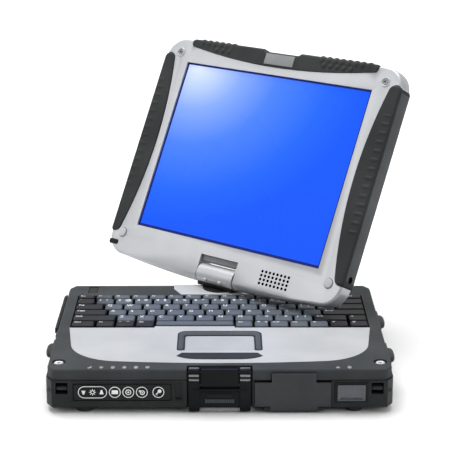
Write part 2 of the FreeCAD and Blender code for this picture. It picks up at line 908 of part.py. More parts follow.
def make_palm_rest():
    body = piece("palm_rest", base_frame)
    shape = outline(body, "palm_outline", "XY_Plane", deck - dim.palm_thickness, palm_outline(0))
    pad(body, "plate", shape, dim.palm_thickness)
    half = dim.pad_frame_half_width + dim.seat_gap
    opening_rear = pad_frame_span[1] + dim.seat_gap
    cut_block(body, "pad_opening", (-half, half),
              (pad_frame_span[0] - dim.seat_gap, opening_rear), (deck - dim.palm_thickness, deck))
    dress(body, "Fillet", "pad_corners", dim.pad_frame_corner + dim.seat_gap,
          lambda edge: upright(edge) and abs(edge.BoundBox.YMax - opening_rear.value) < touching)
    for side in (-1, 1):
        opening = outline(body, "click_outline", "XY_Plane", deck, click_outline(side, dim.fit_gap))
        pocket(body, "click_opening", opening, dim.palm_thickness)


def make_touchpad():
    seat = deck - dim.palm_thickness
    half = dim.pad_frame_half_width
    inner = half - dim.pad_frame_leg
    span = pad_frame_span
    frame = piece("touchpad_frame", base_frame)
    block(frame, "surround", (-half, half), span, (seat, deck + dim.pad_frame_proud))
    dress(frame, "Fillet", "corners", dim.pad_frame_corner,
          lambda edge: upright(edge) and abs(edge.BoundBox.YMax - span[1].value) < touching)
    cut_block(frame, "opening", (-inner, inner), (span[0], span[1] - dim.pad_frame_bar),
              (seat, deck + dim.pad_frame_proud))
    pad_piece = piece("touchpad", base_frame)
    reach = inner - dim.seat_gap
    block(pad_piece, "plate", (-reach, reach), (span[0], span[1] - dim.pad_frame_bar - dim.seat_gap),
          (seat, seat + dim.pad_thickness))
    for side, label in ((-1, "left_click_button"), (1, "right_click_button")):
        button = piece(label, base_frame)
        shape = outline(button, "cap_outline", "XY_Plane", deck + dim.click_proud,
                        click_outline(side, 0))
        pad(button, "cap", shape, dim.click_depth, reverse=True)


def make_status_lights():
    body = piece("status_lights", base_frame)
    half = dim.light_length / 2 - dim.running_gap
    wide = dim.light_width / 2 - dim.running_gap
    for x in light_places():
        block(body, "light", (x - half, x + half), (light_y - wide, light_y + wide),
              (deck_under, deck))


# keyboard: caps stand over a tray, each with a stem that slides in a hole of the tray
key_top = deck + dim.key_proud
key_skirt = key_top - dim.key_height
tray_top = key_skirt - dim.key_travel - dim.tray_clearance
tray_bottom = tray_top - dim.tray_floor


def row_depth(label):
    # front edge and rear edge of a row
    near = well_front + list(key_rows).index(label) * key_row_depth
    return (near, well_rear) if label == "function_key_row" else (near, near + key_row_depth)


def key_cap(name, x, y):
    # a tapered cap: the wedge is drawn lying down and stood up by a quarter turn about X
    cap = doc.addObject("Part::Wedge", name)
    cap.Placement = Placement(Vector(), Rotation(Vector(1, 0, 0), 90))
    gap = dim.key_gap / 2
    x_low = x[0] + gap
    x_high = x[1] - gap
    y_low = y[0] + gap
    y_high = y[1] - gap
    inset = dim.key_inset
    limits = {"Xmin": x_low, "Xmax": x_high, "Ymin": key_skirt, "Ymax": key_top,
              "Zmin": -y_high, "Zmax": -y_low, "X2min": x_low + inset, "X2max": x_high - inset,
              "Z2min": inset - y_high, "Z2max": -y_low - inset}
    for name, size in limits.items():
        bind(cap, name, size)
    return cap


def key_stem(name, x, y, radius, span):
    stem = doc.addObject("Part::Cylinder", name)
    return place_rod(stem, "z", ((x[0] + x[1]) / 2, (y[0] + y[1]) / 2), radius, span)


def fused(label, shapes):
    group = doc.addObject("Part::MultiFuse", label)
    group.Label = label
    group.Shapes = shapes
    return group


def make_keyboard():
    stem_holes = []
    for label in key_rows:
        row_shapes = []
        depth = row_depth(label)
        for index, x in enumerate(key_edges(label)):
            is_space = label == "bottom_key_row" and index == space_key
            y = (depth[0] + dim.space_tongue, depth[1]) if is_space else depth
            shapes = [key_cap("key_cap", x, y)]
            shapes.append(key_stem("key_stem", x, y, dim.key_stem_radius,
                                   (tray_bottom, key_skirt + dim.key_stem_overlap)))
            stem_holes.append(key_stem("stem_hole", x, y, dim.key_stem_radius + dim.fit_gap,
                                       (tray_bottom, tray_top)))
            if is_space:
                space = fused("space_bar", shapes)
                space.Placement = base_frame
                pieces.append(space)
            else:
                row_shapes += shapes
        keys = fused(label, row_shapes)
        keys.Placement = base_frame
        pieces.append(keys)
    blank = well_block("tray_blank", dim.tray_rim, (tray_bottom, deck_under))
    hollow = well_block("tray_hollow", as_size(0), (tray_top, deck_under))
    tray_cut = doc.addObject("Part::Cut", "tray_shell")
    tray_cut.Base = blank
    tray_cut.Tool = hollow
    tray = doc.addObject("Part::Cut", "keyboard_tray")
    tray.Label = "keyboard_tray"
    tray.Base = tray_cut
    tray.Tool = fused("stem_holes", stem_holes)
    tray.Placement = base_frame
    pieces.append(tray)


def well_block(name, grow, z):
    # a block over the keyboard well, larger all round by grow
    half = well_half + grow
    return place_block(doc.addObject("Part::Box", name), (-half, half),
                       (well_front - grow, well_rear + grow), z)


def make_front_buttons():
    face = front + dim.panel_recess - dim.panel_thickness
    panel = piece("front_button_panel", base_frame)
    block(panel, "plate", (panel_left, panel_right), (face, front + dim.panel_recess),
          (dim.panel_bottom, dim.panel_top))
    cut_button_holes(panel, (face, front + dim.panel_recess))
    slot_right = panel_right - dim.panel_slot_margin
    cut_block(panel, "slot", (slot_right - dim.panel_slot_width, slot_right),
              (face, front + dim.panel_recess),
              (dim.panel_bottom + dim.panel_slot_margin, dim.panel_top - dim.panel_slot_margin))
    depth = (face - dim.button_proud, face - dim.button_proud + dim.button_depth)
    for label, x in button_places.items():
        button = piece(label, base_frame)
        rod(button, "cap", "y", (x, dim.button_z), button_radius, depth)
        dress(button, "Fillet", "rim", dim.button_proud / 2, edge_at("y", depth[0]))
    rocker = piece("brightness_rocker", base_frame)
    rocker_shape(rocker, "cap", rocker_radius, rocker_straight, depth, block, rod)
    rod(rocker, "pivot", "z", (rocker_x, depth[1]), dim.rocker_pivot_radius,
        (dim.button_z - rocker_radius, dim.button_z + rocker_radius))


def make_latch():
    posts = dim.latch_bay_half - dim.fit_gap
    top = deck + dim.latch_proud
    back = latch_bay_back - dim.fit_gap
    post_back = front + dim.latch_post_depth
    bracket = piece("latch_bracket", base_frame)
    block(bracket, "back_plate", (-posts, posts), (post_back, back), (underside, top))
    for side in (-1, 1):
        span = on_side(side, dim.latch_post_inner, posts)
        block(bracket, "post", span, (front, post_back), (dim.latch_leg_bottom, top))
        for rib in range(2):
            low = dim.latch_rib_z + rib * dim.latch_rib_pitch - dim.latch_rib_height / 2
            block(bracket, "rib", span, (front - dim.latch_rib_proud, front),
                  (low, low + dim.latch_rib_height))
    block(bracket, "panel", (-dim.latch_post_inner, dim.latch_post_inner),
          (front + dim.latch_panel_setback, post_back), (underside, dim.latch_panel_top))
    cut_block(bracket, "slot", (-dim.latch_slot_half, dim.latch_slot_half),
              (front, front + dim.latch_panel_setback + dim.latch_slot_depth),
              (dim.latch_slot_bottom, dim.latch_slot_top))
    reach = dim.latch_post_inner + dim.latch_pin_grip
    cut_rod(bracket, "pin_bore", "x", (latch_axis_y, dim.latch_axis_z),
            dim.latch_pin_radius + dim.running_gap, (-reach, reach))
    pin = piece("latch_pin", base_frame)
    rod(pin, "pin", "x", (latch_axis_y, dim.latch_axis_z), dim.latch_pin_radius, (-reach, reach))
    flap = piece("display_latch", base_frame)
    half = dim.latch_post_inner - dim.fit_gap
    face = front - dim.latch_flap_proud
    rod(flap, "knuckle", "x", (latch_axis_y, dim.latch_axis_z), dim.latch_knuckle, (-half, half))
    block(flap, "plate", (-half, half), (face, face + dim.latch_flap_thickness), (dim.latch_axis_z, top))
    cut_rod(flap, "pin_bore", "x", (latch_axis_y, dim.latch_axis_z),
            dim.latch_pin_radius + dim.running_gap, (-half, half))


def make_battery_door():
    face = front - dim.door_proud
    depth = (face, face + dim.door_thickness)
    door = piece("battery_door", base_frame)
    block(door, "plate", (door_left, door_right), depth, (dim.door_bottom, dim.door_top))
    block(door, "neck", door_neck, depth,
          (dim.door_top, dim.door_neck_top))
    block(door, "tab", door_tab, (face, door_axis_y), (dim.door_axis_z, dim.door_bottom))
    rod(door, "knuckle", "x", (door_axis_y, dim.door_axis_z), dim.door_knuckle, door_tab)
    cut_rod(door, "pin_bore", "x", (door_axis_y, dim.door_axis_z),
            dim.door_pin_radius + dim.running_gap, door_tab)
    pin = piece("battery_door_pin", base_frame)
    beyond = dim.fit_gap + dim.door_lug_width
    rod(pin, "pin", "x", (door_axis_y, dim.door_axis_z), dim.door_pin_radius,
        (door_tab[0] - beyond, door_tab[1] + beyond))
    battery = piece("battery_pack", base_frame)
    near = front + dim.door_recess + dim.fit_gap
    block(battery, "pack", (battery_left, door_right - dim.battery_side_gap),
          (near, near + dim.battery_length), (floor, floor + dim.battery_height))


def make_front_trim():
    window = piece("infrared_window", base_frame)
    face = front - dim.window_proud
    block(window, "lens", (window_left, window_right), (face, face + dim.window_depth),
          (dim.window_bottom, dim.window_top))
    dress(window, "Chamfer", "bevel", dim.window_bevel,
          lambda edge: edge_at("y", face)(edge) and edge_at("z", dim.window_bottom)(edge))
    bars = piece("strap_bars", base_frame)
    half = dim.strap_width / 2 + dim.strap_bar_grip
    for side in (-1, 1):
        rod(bars, "bar", "x", (front + dim.strap_bar_inset, dim.strap_bar_z), dim.strap_bar_radius,
            on_side(side, strap_x - half, strap_x + half))


def make_feet_and_screws():
    feet = piece("rubber_feet", base_frame)
    foot_x = half_width - dim.foot_inset
    for side in (-1, 1):
        for y in (front + dim.front_foot_inset, half_depth - dim.rear_foot_inset):
            rod(feet, "foot", "z", (side * foot_x, y), dim.foot_radius, (as_size(0), underside))
    screws = piece("deck_screws", base_frame)
    seat = deck - dim.screw_recess_depth
    for side in (-1, 1):
        place = (side * deck_screw_x, deck_screw_y)
        rod(screws, "head", "z", place, dim.deck_screw_head, (seat, seat + dim.deck_screw_head_height))
        rod(screws, "shank", "z", place, dim.deck_screw_shank, (seat - dim.deck_screw_length, seat))


def make_side_covers():
    pins = piece("cover_pins", base_frame)
    connectors = piece("side_sockets", base_frame)
    for name, (side, near, far, grip) in covers.items():
        axis = (side * cover_axis_x, cover_axis_z)
        outer = half_width + dim.cover_proud
        cover = piece(name, base_frame)
        rod(cover, "knuckle", "y", axis, dim.cover_knuckle, (near, far))
        block(cover, "plate", on_side(side, cover_axis_x, outer), (near, far),
              (cover_axis_z, dim.cover_top))
        if grip == "band":
            block(cover, "band", on_side(side, outer, half_width + dim.cover_band_proud), (near, far),
                  (dim.cover_band_bottom, dim.cover_top))
        else:
            tip = half_width + dim.cover_tab_proud
            block(cover, "tab", on_side(side, outer, tip),
                  (near + dim.cover_tab_margin, far - dim.cover_tab_margin),
                  (dim.cover_tab_bottom, dim.cover_top))
            dress(cover, "Fillet", "tab_round", dim.cover_tab_round,
                  lambda edge: upright(edge) and abs(abs(edge.BoundBox.XMax) - tip.value) < touching)
        cut_rod(cover, "pin_bore", "y", axis, dim.cover_pin_radius + dim.running_gap, (near, far))
        reach = dim.fit_gap + dim.cover_pin_grip
        rod(pins, name + "_pin", "y", axis, dim.cover_pin_radius, (near - reach, far + reach))
        length, height = sockets[name]
        middle = (near + far) / 2
        half = length / 2
        shell = dim.socket_shell
        mouth = half_width - dim.wall - dim.socket_wall_gap
        block(connectors, name + "_socket", on_side(side, mouth - dim.socket_depth, mouth),
              (middle - half - shell, middle + half + shell),
              (floor, dim.socket_bottom + height + shell))
        cut_block(connectors, name + "_hollow",
                  on_side(side, mouth - dim.socket_depth + shell, mouth),
                  (middle - half, middle + half), (dim.socket_bottom, dim.socket_bottom + height))


def make_power_inlet():
    body = piece("power_inlet", base_frame)
    half = dim.inlet_block_width / 2
    block(body, "block", (inlet_x - half, inlet_x + half),
          (inner_rear - dim.inlet_block_depth, inner_rear), (floor, dim.inlet_block_top))
    rod(body, "barrel", "y", (inlet_x, dim.inlet_z), dim.inlet_barrel, (inner_rear, half_depth))
    cut_rod(body, "bore", "y", (inlet_x, dim.inlet_z), dim.inlet_bore,
            (half_depth - dim.inlet_bore_length, half_depth))


def slab(label, center, size, z):
    body = piece(label, base_frame)
    block(body, "slab", (center[0] - size[0] / 2, center[0] + size[0] / 2),
          (center[1] - size[1] / 2, center[1] + size[1] / 2), z)


def make_inside_of_base():
    board = piece("main_board", base_frame)
    lift = floor + dim.board_lift
    top = lift + dim.board_thickness
    block(board, "board", (board_left, board_right), (board_front, board_rear),
          (lift, top))
    half = dim.processor_width / 2
    lid = top + dim.processor_height
    board_middle = (board_front + board_rear) / 2
    processor_x = board_right - dim.processor_inset
    block(board, "processor", (processor_x - half, processor_x + half),
          (board_middle - half, board_middle + half), (top, lid))
    slab("heat_spreader", (processor_x, board_middle), (dim.spreader_length, dim.spreader_width),
         (lid, lid + dim.spreader_thickness))
    slab("memory_module", (board_left + dim.memory_inset + dim.memory_length / 2, board_middle),
         (dim.memory_length, dim.memory_width), (top, top + dim.memory_height))
    drive_middle = drive_front + dim.drive_length / 2
    slab("radio_card", (board_left + dim.radio_width / 2, drive_middle),
         (dim.radio_width, dim.radio_length), (floor, floor + dim.radio_height))
    slab("disk_drive", (drive_right - dim.drive_width / 2, drive_middle),
         (dim.drive_width, dim.drive_length), (floor, floor + dim.drive_height))


def make_swivel():
    plate = piece("swivel_plate", base_frame)
    rear = half_depth - dim.seam_step - dim.edge_round
    near = well_rear + dim.plate_gap
    shape = outline(plate, "plate_outline", "XY_Plane", deck,
                    [(-dim.plate_front_half, near), (dim.plate_front_half, near),
                     (dim.plate_rear_half, rear - dim.plate_straight), (dim.plate_rear_half, rear),
                     (-dim.plate_rear_half, rear), (-dim.plate_rear_half, rear - dim.plate_straight)])
    pad(plate, "plate", shape, dim.plate_thickness)
    plate_top = deck + dim.plate_thickness
    cut_rod(plate, "bore", "z", (0, hinge_y), dim.spindle_radius + dim.fit_gap, (deck, plate_top))
    table = piece("turntable", swivel_frame)
    low = plate_top + dim.seat_gap
    middle = (as_size(0), as_size(0))
    ring_top = deck_under - dim.swivel_boss_depth - dim.ring_gap
    ring_low = ring_top - dim.ring_thickness
    rod(table, "disc", "z", middle, dim.turntable_radius, (low, low + dim.turntable_thickness))
    rod(table, "spindle", "z", middle, dim.spindle_radius, (ring_low, low))
    cut_rod(table, "saddle", "x", (as_size(0), hinge_z), dim.knuckle_radius,
            (-dim.knuckle_half, dim.knuckle_half))
    ring = piece("swivel_ring", swivel_frame)
    rod(ring, "ring", "z", middle, dim.ring_radius, (ring_low, ring_top))
    cut_rod(ring, "bore", "z", middle, dim.spindle_radius, (ring_low, ring_top))
    knuckle = piece("hinge_knuckle", swivel_frame)
    rod(knuckle, "barrel", "x", (as_size(0), hinge_z), dim.knuckle_radius,
        (-dim.knuckle_half, dim.knuckle_half))
    block(knuckle, "pedestal", (-dim.pedestal_half, dim.pedestal_half),
          (-dim.pedestal_depth / 2, dim.pedestal_depth / 2),
          (low + dim.turntable_thickness, hinge_z))
    cut_rod(knuckle, "bore", "x", (as_size(0), hinge_z), dim.shaft_radius + dim.running_gap,
            (-dim.knuckle_half, dim.knuckle_half))
    shaft = piece("tilt_shaft", display_frame)
    rod(shaft, "shaft", "x", middle, dim.shaft_radius, (-dim.shaft_half, dim.shaft_half))


# display: X across, -Y out of the screen, Z up the screen, all from the tilt shaft
display_half = half_width
display_screw_x = display_half - dim.display_screw_inset
bumper_x = display_half - dim.bumper_inset
quarter_bow = 1 - math.sqrt(0.5)
bezel_face = -dim.bezel_depth
back_face = dim.back_depth


def display_outline():
    side = display_half
    top = dim.display_top
    low = dim.display_bottom_corner
    high = dim.display_top_corner
    rise = dim.display_bow - dim.display_bottom
    return [(low - side, rise, dim.display_bow), (side - low, rise, low * quarter_bow),
            (side, rise + low), (side, top - high, high * quarter_bow),
            (side - high, top), (high - side, top, high * quarter_bow),
            (-side, top - high), (-side, rise + low, low * quarter_bow)]


def casing_half(label, depth, plate, rounding, forward):
    # one half of the display casing: padded from the seam at Y = 0, hollowed, round along its foot
    body = carved_piece(label, display_frame)
    pad(body, "slab", outline(body, "casing_outline", "XZ_Plane", as_size(0), display_outline()),
        depth, reverse=not forward)
    dress(body, "Fillet", "face_round", rounding, edge_at("y", -depth if forward else depth))
    around = dim.display_bottom
    beyond = around + dim.display_wall + dim.back_depth
    waste = outline(body, "foot_waste", "YZ_Plane", -display_half - cut_room,
                    [(-beyond, -beyond), (beyond, -beyond), (beyond, as_size(0)),
                     (around, as_size(0), -around * quarter_bow),
                     (as_size(0), -around, -around * quarter_bow),
                     (-around, as_size(0)), (-beyond, as_size(0))])
    pocket(body, "foot_round", waste, 2 * (display_half + cut_room), reverse=True)
    level = depth + cut_room if forward else as_size(0)
    for name, shape in (("left_seat", grip_outline(-1, dim.seat_gap)),
                        ("right_seat", grip_outline(1, dim.seat_gap)),
                        ("handle_seat", handle_outline(dim.seat_gap, False))):
        pocket(body, name, outline(body, name + "_outline", "XZ_Plane", level, shape), depth + cut_room)
    # the hollow leaves the walls round the notch standing
    inner = display_half - dim.display_wall
    room = span_from_seam(depth - plate, forward)
    low = dim.display_wall + dim.display_bow - dim.display_bottom
    wall = dim.notch_half + dim.notch_wall
    roof = dim.notch_top + dim.notch_wall
    shoulder = dim.display_top - dim.display_top_corner
    head = display_half - dim.display_top_corner
    foot = display_half - dim.display_bottom_corner
    cut_block(body, "hollow", (-inner, inner), room, (roof, shoulder))
    cut_block(body, "hollow_head", (-head, head), room, (shoulder, dim.display_top - dim.display_wall))
    for side in (-1, 1):
        cut_block(body, "hollow_foot", on_side(side, wall, foot), room, (low, roof))
    cut_block(body, "notch", (-dim.notch_half, dim.notch_half), span_from_seam(depth + cut_room, forward),
              (-dim.display_bottom - cut_room, dim.notch_top))
    cut_rod(body, "shaft_seat", "x", (as_size(0), as_size(0)), dim.shaft_radius + dim.running_gap,
            (-dim.shaft_half, dim.shaft_half))
    return body


def span_from_seam(depth, forward):
    return (-depth, as_size(0)) if forward else (as_size(0), depth)


def grip_outline(side, grow):
    # a lens against the side of the display, its inner edge bowed towards the screen, its ends round
    outer = display_half + dim.grip_side_proud + grow
    corners = [(outer, dim.grip_bottom - grow), (outer, dim.grip_shoulder, dim.grip_shoulder_bulge),
               (display_half - dim.grip_tip_inset, dim.grip_tip + grow, dim.grip_tip_bulge),
               (display_half - dim.grip_top_inset - grow, dim.grip_top, dim.grip_bulge),
               (display_half - dim.grip_bottom_inset - grow, dim.grip_bottom_inner, dim.grip_heel_bulge),
               (display_half - dim.grip_heel_inset, dim.grip_bottom - grow)]
    return corners if side > 0 else mirrored(corners)


def handle_outline(grow, with_catch):
    # the grip along the top edge, bowed below, with the notch where the latch takes hold
    top = dim.display_top + dim.handle_proud + grow
    half = display_half - dim.handle_inset + grow
    low_half = half - dim.handle_taper
    corners = [(-low_half, dim.handle_end, dim.handle_bow + grow), (low_half, dim.handle_end), (half, top)]
    if with_catch:
        corners += [(dim.catch_mouth, top), (dim.catch_half, top - dim.catch_depth),
                    (-dim.catch_half, top - dim.catch_depth), (-dim.catch_mouth, top)]
    return corners + [(-half, top)]


def make_display_casing():
    bezel = casing_half("display_bezel", dim.bezel_depth, dim.bezel_plate, dim.bezel_round, True)
    half = display_half - dim.screen_margin
    plate = (bezel_face - cut_room, bezel_face + dim.bezel_plate)
    cut_block(bezel, "screen_opening", (-half, half), plate,
              (dim.screen_bottom, dim.screen_bottom + dim.screen_height))
    screw_end = bezel_face - dim.display_screw_proud + dim.display_screw_length
    for side in (-1, 1):
        cut_rod(bezel, "screw_seat", "y", (side * display_screw_x, dim.display_screw_z),
                dim.display_screw_head + dim.seat_gap, (bezel_face - cut_room, screw_end))
        cut_rod(bezel, "bumper_seat", "y", (side * bumper_x, dim.bumper_z),
                dim.bumper_radius + dim.seat_gap, plate)
    columns = int(dim.speaker_columns.value)
    rows = int(dim.speaker_rows.value)
    for column in range(columns):
        for line in range(rows):
            x = dim.speaker_x + (column - (columns - 1) / 2) * dim.speaker_pitch_x
            z = dim.speaker_z + (line - (rows - 1) / 2) * dim.speaker_pitch_z
            cut_rod(bezel, "speaker_hole", "y", (x, z), dim.speaker_hole_radius, plate)
    finish_carving(bezel)
    finish_carving(casing_half("display_back", dim.back_depth, dim.back_plate, dim.back_round, False))


def make_grips():
    proud = dim.bezel_depth + dim.grip_front_proud
    thickness = proud + dim.back_depth - dim.grip_back_setback
    for side, label in ((-1, "left_grip"), (1, "right_grip")):
        body = piece(label, display_frame)
        pad(body, "pad", outline(body, "grip_outline", "XZ_Plane", proud, grip_outline(side, as_size(0))),
            thickness, reverse=True)
    body = piece("top_grip", display_frame)
    pad(body, "pad", outline(body, "handle_outline", "XZ_Plane", proud, handle_outline(as_size(0), True)),
        thickness, reverse=True)
    dress(body, "Chamfer", "front_bevel", dim.grip_bevel, edge_at("y", -proud))


def make_screen():
    half = display_half - dim.screen_margin
    glass_front = bezel_face + dim.bezel_plate
    glass_back = glass_front + dim.glass_thickness
    low = dim.screen_bottom
    high = low + dim.screen_height
    glass = piece("touch_glass", display_frame)
    block(glass, "glass", (-half - dim.glass_lap, half + dim.glass_lap), (glass_front, glass_back),
          (low - dim.glass_lap, high + dim.glass_lap))
    panel = piece("display_panel", display_frame)
    block(panel, "panel", (-half - dim.panel_lap, half + dim.panel_lap),
          (glass_back, glass_back + dim.lcd_thickness), (low - dim.panel_lap, high + dim.panel_lap))


def make_display_fittings():
    screws = piece("display_screws", display_frame)
    bumpers = piece("display_bumpers", display_frame)
    for side in (-1, 1):
        rod(screws, "screw", "y", (side * display_screw_x, dim.display_screw_z),
            dim.display_screw_head, (bezel_face - dim.display_screw_proud,
                                     bezel_face - dim.display_screw_proud + dim.display_screw_length))
        rod(bumpers, "bumper", "y", (side * bumper_x, dim.bumper_z), dim.bumper_radius,
            (bezel_face - dim.bumper_proud, bezel_face + dim.bezel_plate))
    speaker = piece("speaker", display_frame)
    half = dim.speaker_length / 2
    tall = dim.speaker_height / 2
    plate_back = bezel_face + dim.bezel_plate
    block(speaker, "speaker", (dim.speaker_x - half, dim.speaker_x + half),
          (plate_back, plate_back + dim.speaker_depth),
          (dim.speaker_z - tall, dim.speaker_z + tall))
    inverter = piece("backlight_inverter", display_frame)
    half = dim.inverter_length / 2
    tall = dim.inverter_height / 2
    seat = back_face - dim.back_plate
    inverter_x = dim.inverter_inset - display_half
    block(inverter, "inverter", (inverter_x - half, inverter_x + half),
          (seat - dim.inverter_depth, seat), (dim.inverter_z - tall, dim.inverter_z + tall))


make_bottom_case()
make_top_case()
make_palm_rest()
make_touchpad()
make_status_lights()
make_keyboard()
make_front_buttons()
make_latch()
make_battery_door()
make_front_trim()
make_feet_and_screws()
make_side_covers()
make_power_inlet()
make_inside_of_base()
make_swivel()
make_display_casing()
make_grips()
make_screen()
make_display_fittings()
doc.recompute()

for item in doc.Objects:
    if "Invalid" in item.State or "Error" in item.State:
        raise RuntimeError("%s did not compute" % item.Label)
for item in pieces:
    if item.Shape.isNull() or not item.Shape.isValid():
        raise RuntimeError("%s has no valid shape" % item.Label)

os.makedirs("parts", exist_ok=True)
for item in pieces:
    item.Shape.exportStep("parts/%s.step" % item.Label)
print("%d pieces written" % len(pieces))
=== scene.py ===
import json
import math

import bmesh
import bpy
import numpy as np
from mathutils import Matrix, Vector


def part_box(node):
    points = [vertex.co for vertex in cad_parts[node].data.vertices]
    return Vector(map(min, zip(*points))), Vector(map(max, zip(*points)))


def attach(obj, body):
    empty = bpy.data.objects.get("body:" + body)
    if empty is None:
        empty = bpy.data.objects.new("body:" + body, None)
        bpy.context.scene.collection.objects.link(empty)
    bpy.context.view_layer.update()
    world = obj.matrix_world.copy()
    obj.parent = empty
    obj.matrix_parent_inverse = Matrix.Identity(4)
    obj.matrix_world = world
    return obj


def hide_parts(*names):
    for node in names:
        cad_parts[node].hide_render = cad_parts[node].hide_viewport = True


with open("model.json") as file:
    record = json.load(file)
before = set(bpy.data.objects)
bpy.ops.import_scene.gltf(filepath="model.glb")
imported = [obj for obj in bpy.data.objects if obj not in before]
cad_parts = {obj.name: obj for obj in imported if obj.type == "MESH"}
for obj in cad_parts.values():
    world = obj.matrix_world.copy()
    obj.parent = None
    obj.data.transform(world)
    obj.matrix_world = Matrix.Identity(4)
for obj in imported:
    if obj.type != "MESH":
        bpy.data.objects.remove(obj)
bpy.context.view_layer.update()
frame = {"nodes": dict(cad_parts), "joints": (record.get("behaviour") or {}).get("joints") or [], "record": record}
nodes = frame["nodes"]
record = frame["record"]
nodeBody = {node: body for body, members in record["behaviour"]["bodies"].items()
            for node in members}
mm = 0.001
sides = (-1, 1)
print("frame loaded:", len(nodes), "nodes")

# the base is measured from the middle of its deck, the lid from its tilt shaft
deckLow, deckHigh = (np.array(corner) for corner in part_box("top_case"))
baseMiddle = (deckLow + deckHigh) / 2 * (1, 1, 0)
deckTop = deckHigh[2] / mm
tilt = next(joint for joint in frame["joints"] if joint["name"] == "display_tilt")
lidPivot = np.array(tilt["pos_m"])
lidAcross = np.array(tilt["axis"], float)
lean = math.radians(tilt["range_deg"][1] - 90)
upward = np.array([0.0, 0.0, 1.0])
rearward = np.cross(upward, lidAcross)
lidUp = math.cos(lean) * upward + math.sin(lean) * rearward
lidOut = math.sin(lean) * upward - math.cos(lean) * rearward
lidFace = 8.0  # front of the bezel, millimetres out from the shaft


def onBase(x, y, z):
    # millimetres from the middle of the base become metres in the frame
    return np.stack(np.broadcast_arrays(x, y, z), -1) * mm + baseMiddle


def onLid(u, v, n):
    # u runs across the lid, v up it and n out of the screen, in millimetres from the tilt shaft
    u, v, n = (np.asarray(size, float)[..., None] * mm for size in np.broadcast_arrays(u, v, n))
    return lidPivot + u * lidAcross + v * lidUp + n * lidOut


def nodeSpan(node):
    # the low and the high corner of a node's box in millimetres from the middle of the base
    low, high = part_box(node)
    return (np.array(low) - baseMiddle) / mm, (np.array(high) - baseMiddle) / mm


# shapes: points with lists of faces


def gridShape(points, caps=True):
    # quads between neighbours on a grid whose last column joins the first; caps fills the first
    # and the last row with a fan to its middle
    rows, columns = points.shape[:2]
    index = np.arange(rows * columns).reshape(rows, columns)
    index = np.concatenate([index, index[:, :1]], 1)
    quads = np.stack([index[:-1, :-1], index[:-1, 1:], index[1:, 1:], index[1:, :-1]], -1)
    verts = points.reshape(-1, 3)
    faces = [quads.reshape(-1, 4)]
    if caps:
        for ring, middle in ((index[0, ::-1], len(verts)), (index[-1], len(verts) + 1)):
            faces.append(np.stack([ring[:-1], ring[1:], np.full(len(ring) - 1, middle)], -1))
        verts = np.concatenate([verts, points[[0, -1]].mean(1)])
    return verts, faces


def joined(shapes):
    starts = np.cumsum([0] + [len(verts) for verts, faces in shapes])
    faces = [part + start for (verts, parts), start in zip(shapes, starts) for part in parts]
    return np.concatenate([verts for verts, parts in shapes]), faces


def placed(shape, origin, axisX, axisY, axisZ):
    # a shape drawn in millimetres about zero, set at an origin in the frame along three directions
    verts, faces = shape
    return verts * mm @ np.array([axisX, axisY, axisZ]) + np.asarray(origin), faces


def straight(shape, x, y, z):
    # a shape set along the base's own directions
    return placed(shape, onBase(x, y, z), (1, 0, 0), (0, 1, 0), (0, 0, 1))


def leaning(shape, u, v, n):
    # a shape set along the lid's own directions
    return placed(shape, onLid(u, v, n), lidAcross, lidUp, lidOut)


def spread(shape, places, level, put=leaning):
    # copies of a shape at pairs of coordinates, all at one level
    return joined([put(shape, first, second, level) for first, second in places])


def turned(profile, count=32, flats=()):
    # a profile of radius and height swept round the Z axis; flats gives for each profile point how
    # many sides it has, a round one having none
    radius, height = np.array(profile, float).T
    angle = np.arange(count) * 2 * math.pi / count
    reach = np.repeat(radius[:, None], count, 1)
    for row, number in enumerate(flats):
        if number:
            step = 2 * math.pi / number
            reach[row] *= math.cos(step / 2) / np.cos(angle % step - step / 2)
    return gridShape(np.stack([reach * np.cos(angle), reach * np.sin(angle),
                               np.repeat(height[:, None], count, 1)], -1))


def roundedRing(halfX, halfY, radius, steps=4):
    # points round a rectangle with round corners, as many for each corner
    quarter = np.linspace(0, math.pi / 2, steps)
    around = np.concatenate([quarter + turn * math.pi / 2 for turn in range(4)])
    x = np.repeat([1, -1, -1, 1], steps) * (halfX - radius) + radius * np.cos(around)
    y = np.repeat([1, 1, -1, -1], steps) * (halfY - radius) + radius * np.sin(around)
    return x, y


def pebble(halfX, halfY, halfZ, radius, steps=4):
    # a box with round edges: eighths of a ball of that radius pushed out to the eight corners
    quarter = np.linspace(0, math.pi / 2, steps)
    rise = np.concatenate([quarter - math.pi / 2, quarter])[:, None]
    reach = radius * np.cos(rise)
    x, y = roundedRing(halfX - radius + reach, halfY - radius + reach, reach, steps)
    z = np.repeat([-1, 1], steps)[:, None] * (halfZ - radius) + radius * np.sin(rise) + 0 * x
    return gridShape(np.stack([x, y, z], -1))


def block(half, radius, place, steps=4):
    return straight(pebble(*half, radius, steps), *place)


def stacked(halfX, halfY, corner, rings, place, steps=4, follow=0.0):
    # rounded rectangles one after another, each drawn in by an inset and set at a height; follow is
    # the share of the inset that their corners lose
    levels = []
    for inset, height in rings:
        x, y = roundedRing(halfX - inset, halfY - inset, corner - follow * inset, steps)
        levels.append(place(x, y, height))
    return gridShape(np.array(levels))


def easeStep(value, low, high):
    share = np.clip((value - low) / (high - low), 0, 1)
    return share * share * (3 - 2 * share)


# shader maths on sockets


